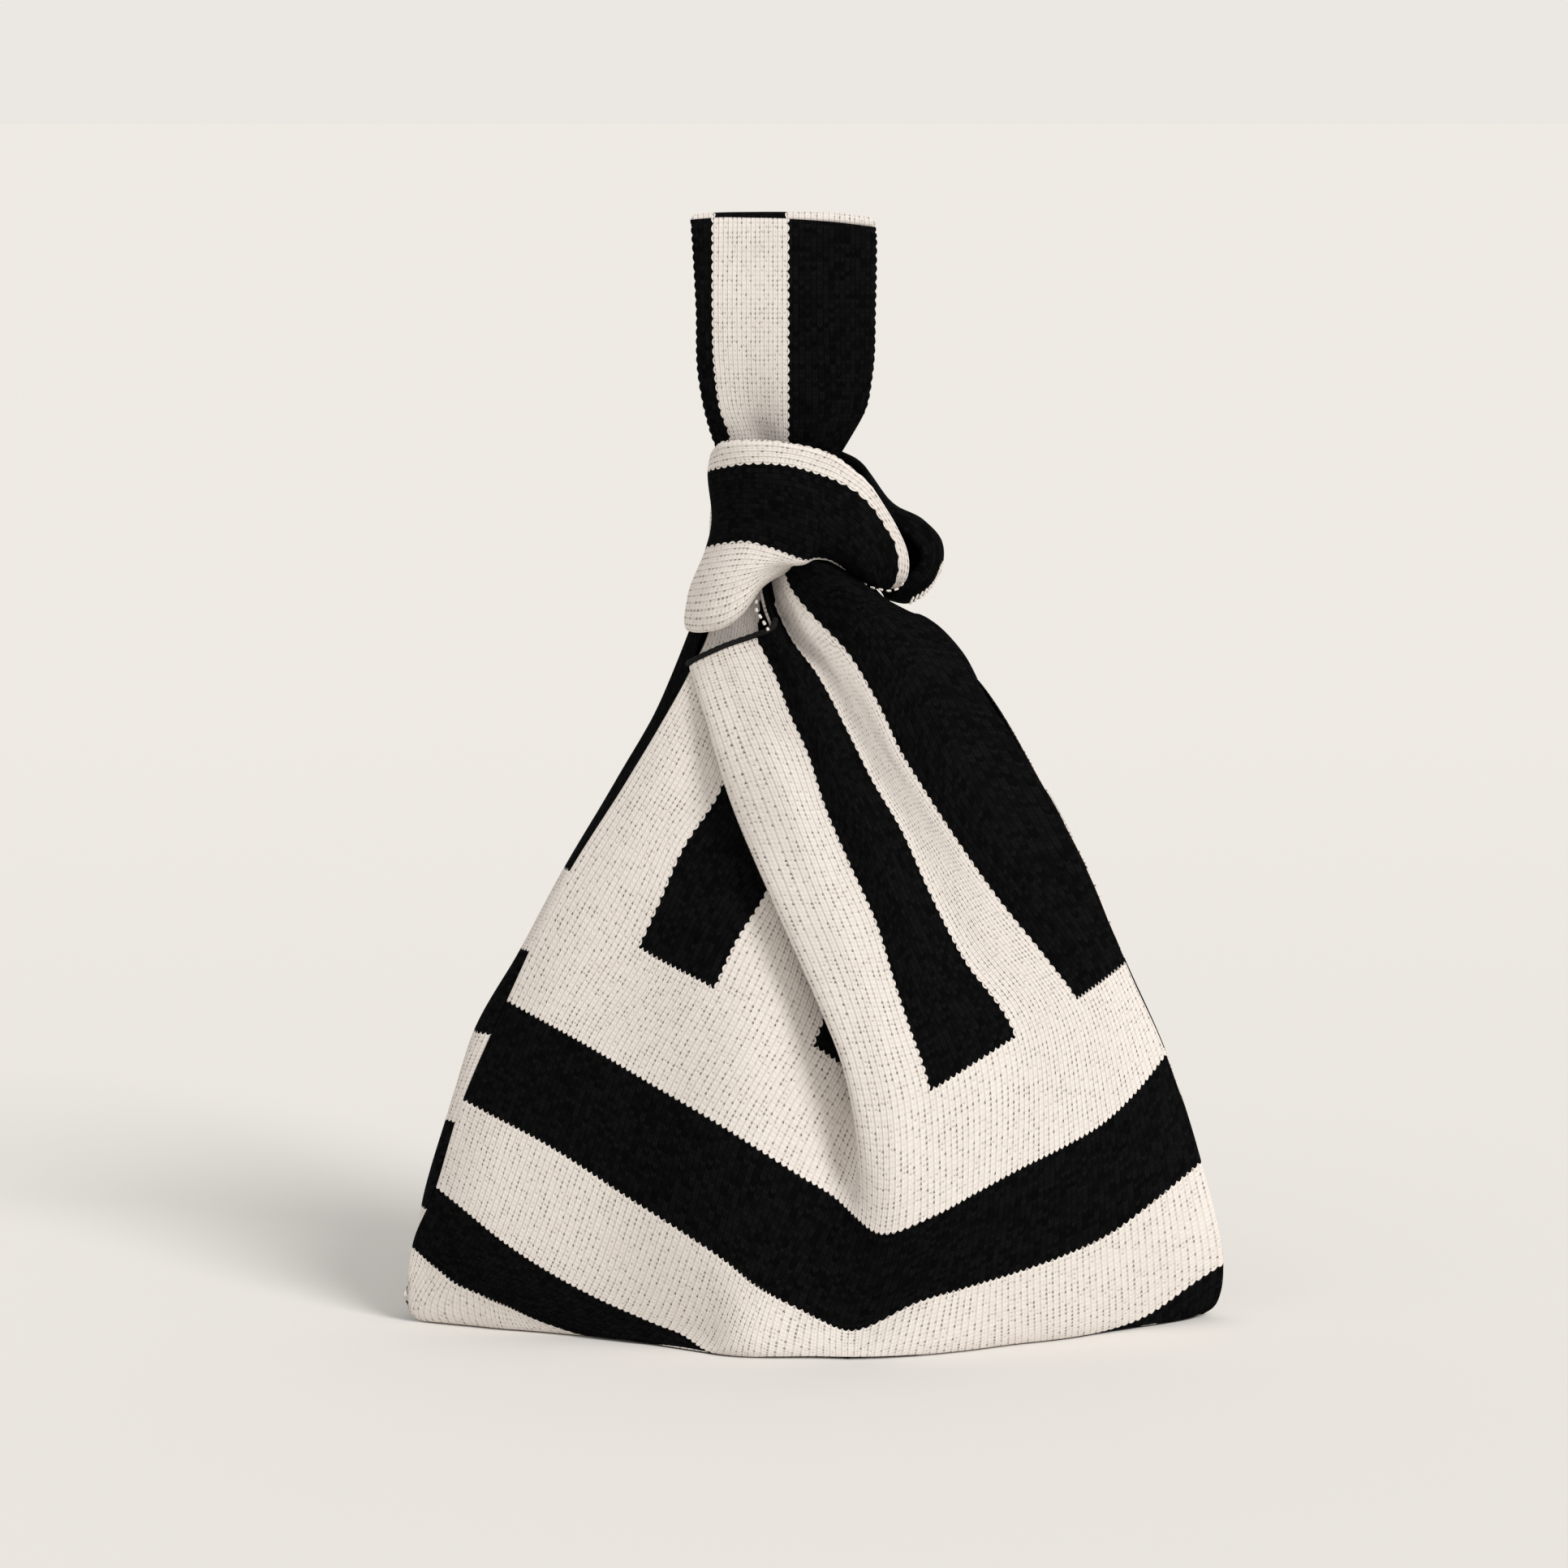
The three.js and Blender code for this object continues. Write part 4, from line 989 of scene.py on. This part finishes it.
class KNOTBAG_OT_wrist_loop(bpy.types.Operator):
    """The long handle's upper part, which forms the wrist loop"""
    bl_idname = "knotbag.wrist_loop"
    bl_label = "Wrist loop"

    def execute(self, context):
        places = edge_spread(LONG_EDGE, WIDTH_BLOCKS, 44, 0.8 / BLOCK_WIDTH)
        for side, table, faces, outward, slot in (
                ("front", LOOP_FRONT_ROWS, front_faces(context), Vector((0, -1, 0)), "cream_face_knit"),
                ("back", LOOP_BACK_ROWS, back_faces(context), Vector((0, 1, 0)), "black_face_knit")):
            low = LOOP_ROW
            lines = station_lines(LOOP_PLACES, table, low)
            high = last_row(lines)
            rows = row_grid(lambda p: low, lambda p: high, places, 260)
            piece = knit_sheet(context, f"wrist_loop_{side}", lines, places, rows, faces, outward,
                               scallop=0.02)
            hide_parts(f"wrist_leg_{side}")
            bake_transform(piece)
        lines = station_lines(LOOP_PLACES, LOOP_FRONT_ROWS, LOOP_ROW)
        crest = surface(lines, places, np.full(len(places), last_row(lines)))
        crest = crest + SEAM_TUCK
        seam = chain(context, "wrist_loop_seam", crest, 1.2, 2.0, dark_thread(context))
        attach(seam, "wrist_loop")
        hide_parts("wrist_seam")
        return {"FINISHED"}


class KNOTBAG_OT_seams(bpy.types.Operator):
    """Linked seams of the body and the chain edges of the mouth"""
    bl_idname = "knotbag.seams"
    bl_label = "Seams and mouth edges"

    def execute(self, context):
        front, back = front_lines(), back_lines()
        thread = dark_thread(context)
        rows = np.linspace(1.2, 7.4, 60)
        left = chain(context, "side_seam_left_edge",
                     surface(front, np.zeros(60), rows) + SEAM_INSET + SEAM_BACK,
                     0.9, 2.8, thread)
        rows = np.linspace(2.2, 8.9, 60)
        right = chain(context, "side_seam_right_edge",
                      surface(front, np.full(60, WIDTH_BLOCKS),
                              rows) - SEAM_INSET + SEAM_BACK, 0.9, 2.8, thread)
        base = chain(context, "base_seam_edge",
                     [base_seam_point(p) for p in np.linspace(0.1, WIDTH_BLOCKS - 0.1,
                                                              40)], 1.3, 2.8, thread)
        mouth = np.linspace(SHORT_EDGE, LONG_EDGE, 90)
        hems = [chain(context, f"mouth_edge_{side}", surface(lines, mouth, np.full(90, HEM_ROW)) + lean,
                      1.15, 2.8, thread)
                for side, lines, lean in (("front", front, np.array([0, 1.2, 0.4])),
                                          ("back", back, np.array([0, -1.2, 0.4])))]
        for piece, node in ((left, "side_seam_left"), (right, "side_seam_right"), (base, "base_seam"),
                            (hems[0], "mouth_hem_front"), (hems[1], "mouth_hem_back")):
            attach(piece, "bag")
            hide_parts(node)
        return {"FINISHED"}


class KNOTBAG_OT_stitches(bpy.types.Operator):
    """White linking stitches that show on the handles' black edges"""
    bl_idname = "knotbag.stitches"
    bl_label = "White stitches"

    def execute(self, context):
        thread = light_thread(context)

        def dashes(name, pairs, radius, body):
            made = [chain(context, f"{name}_{k}",
                          [at_depth(*a), (at_depth(*a) + at_depth(*b)) / 2, at_depth(*b)],
                          radius, 2.4, thread) for k, (a, b) in enumerate(pairs)]
            piece = joined(context, name, made)
            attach(piece, body)
            return piece

        dashes("long_handle_edge_stitches", STRAP_DASHES, 0.55, "bag")
        slanted = []
        for k in range(LOOP_STITCHES):
            share = k / (LOOP_STITCHES - 1)
            px = LOOP_STITCH_START[0] + (LOOP_STITCH_END[0] - LOOP_STITCH_START[0]) * share
            py = LOOP_STITCH_START[1] + (LOOP_STITCH_END[1] - LOOP_STITCH_START[1]) * share
            swell = 5 * math.sin(math.pi * share)
            slanted.append(((px - 3 + swell, py + 4 + swell, -5), (px + 2 + swell, py - 6 + swell, -5)))
        seam = dashes("short_handle_seam_stitches", tuple(BAND_DASHES) + tuple(slanted), 0.42,
                      "short_loop")
        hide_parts("short_band_seam")
        return {"FINISHED"}


class KNOTBAG_OT_stage(bpy.types.Operator):
    """Pale floor and backdrop, soft light and the camera"""
    bl_idname = "knotbag.stage"
    bl_label = "Studio"

    def execute(self, context):
        studio = context.scene.knot_bag_studio
        scene = context.scene
        bpy.ops.object.select_all(action="DESELECT")
        bpy.ops.mesh.primitive_plane_add(size=60)
        floor = context.active_object
        floor.name = floor.data.name = "studio_floor"
        paper = bpy.data.materials.new("Studio paper")
        paper.use_nodes = True
        w = Wiring(paper.node_tree)
        shader = paper.node_tree.nodes["Principled BSDF"]
        # Painted shade on the floor: the paper is a little darker near the camera and reaches its full
        # colour further back
        depth = w.node("ShaderNodeSeparateXYZ",
                       {0: w.node("ShaderNodeTexCoord").outputs["Object"]}).outputs[1]
        near = tuple(c * 0.965 for c in studio.paper)
        w.feed(shader.inputs["Base Color"], w.blend(w.fade(depth, -0.5, 2.0), (*near, 1),
                                                    (*studio.paper, 1)))
        shader.inputs["Roughness"].default_value = 0.9
        shader.inputs["Specular IOR Level"].default_value = 0.0
        floor.data.materials.append(paper)

        world = bpy.data.worlds.new("Studio air")
        world.use_nodes = True
        w = Wiring(world.node_tree)
        air = world.node_tree.nodes["Background"]
        air.inputs[0].default_value = (1.0, 0.985, 0.96, 1)
        air.inputs[1].default_value = studio.fill
        wall = w.node("ShaderNodeBackground", {0: (*studio.wall, 1), 1: 1.0})
        ray = w.node("ShaderNodeLightPath").outputs
        seen = w.math("MAXIMUM", ray["Is Camera Ray"],
                      w.math("MAXIMUM", ray["Is Glossy Ray"], ray["Is Transmission Ray"]))
        mix = w.node("ShaderNodeMixShader", {0: seen})
        world.node_tree.links.new(air.outputs[0], mix.inputs[1])
        world.node_tree.links.new(wall.outputs[0], mix.inputs[2])
        world.node_tree.links.new(mix.outputs[0], world.node_tree.nodes["World Output"].inputs[0])
        scene.world = world

        lamp = bpy.data.lights.new("Key", "SUN")
        lamp.angle = KEY_ANGLE
        lamp.energy = studio.key
        lamp.color = (1.0, 0.99, 0.97)
        holder = bpy.data.objects.new("Key", lamp)
        holder.location = 3 * KEY_DIRECTION
        holder.rotation_euler = (-KEY_DIRECTION).to_track_quat("-Z", "Y").to_euler()
        scene.collection.objects.link(holder)

        camera_data = bpy.data.cameras.new("Camera")
        camera_data.sensor_width = SENSOR_WIDTH
        camera_data.lens = SENSOR_WIDTH * VIEW_DISTANCE / (FRAME_PX * PIXEL)
        camera_data.clip_end = 100
        camera = bpy.data.objects.new("Camera", camera_data)
        camera.location = VIEW_PLACE * MM
        camera.rotation_euler = (math.pi / 2 - VIEW_ELEVATION, 0, 0)
        scene.collection.objects.link(camera)
        scene.camera = camera
        scene.view_settings.view_transform = "Standard"
        return {"FINISHED"}


class KnotBagSizes(bpy.types.PropertyGroup):
    knit: bpy.props.FloatProperty(name="Knit", description="Thickness of the double knit",
                                  default=3 * MM,
                                  min=1 * MM, max=6 * MM, unit="LENGTH")


class KnotBagColours(bpy.types.PropertyGroup):
    light_yarn: bpy.props.FloatVectorProperty(name="Light yarn", description="Colour of the light yarn",
                                              default=(0.88, 0.83, 0.79), subtype="COLOR")
    dark_yarn: bpy.props.FloatVectorProperty(name="Dark yarn", description="Colour of the dark yarn",
                                             default=(0.0024, 0.0024, 0.0025), subtype="COLOR")


class KnotBagStudio(bpy.types.PropertyGroup):
    paper: bpy.props.FloatVectorProperty(name="Paper", description="Colour of the floor",
                                         default=(0.82, 0.795, 0.767), subtype="COLOR")
    wall: bpy.props.FloatVectorProperty(name="Wall", description="Colour of the backdrop",
                                        default=(0.831, 0.799, 0.761), subtype="COLOR")
    fill: bpy.props.FloatProperty(name="Fill", description="Strength of the light from all around",
                                  default=0.66)
    key: bpy.props.FloatProperty(name="Key", description="Strength of the main lamp", default=1.85)


STEPS = (KNOTBAG_OT_stage, KNOTBAG_OT_front_panel, KNOTBAG_OT_back_panel, KNOTBAG_OT_handle_roots,
         KNOTBAG_OT_band, KNOTBAG_OT_wrist_loop, KNOTBAG_OT_seams, KNOTBAG_OT_stitches)


class KNOTBAG_PT_panel(bpy.types.Panel):
    """Lists the bag's pieces and the studio"""
    bl_label = "Knot bag"
    bl_idname = "KNOTBAG_PT_panel"
    bl_space_type = "VIEW_3D"
    bl_region_type = "UI"
    bl_category = "Knot bag"

    def draw(self, context):
        for group in (context.scene.knot_bag_sizes, context.scene.knot_bag_colours,
                      context.scene.knot_bag_studio):
            for key in group.__annotations__:
                self.layout.prop(group, key)
        for step in STEPS:
            self.layout.operator(step.bl_idname)


CLASSES = (KnotBagSizes, KnotBagColours, KnotBagStudio, *STEPS, KNOTBAG_PT_panel)


def register():
    for cls in CLASSES:
        bpy.utils.register_class(cls)
    bpy.types.Scene.knot_bag_sizes = bpy.props.PointerProperty(type=KnotBagSizes)
    bpy.types.Scene.knot_bag_colours = bpy.props.PointerProperty(type=KnotBagColours)
    bpy.types.Scene.knot_bag_studio = bpy.props.PointerProperty(type=KnotBagStudio)


def unregister():
    del bpy.types.Scene.knot_bag_sizes
    del bpy.types.Scene.knot_bag_colours
    del bpy.types.Scene.knot_bag_studio
    for cls in reversed(CLASSES):
        bpy.utils.unregister_class(cls)


def main():
    register()
    for step in STEPS:
        group, name = step.bl_idname.split(".")
        getattr(getattr(bpy.ops, group), name)()


if __name__ == "__main__":
    main()
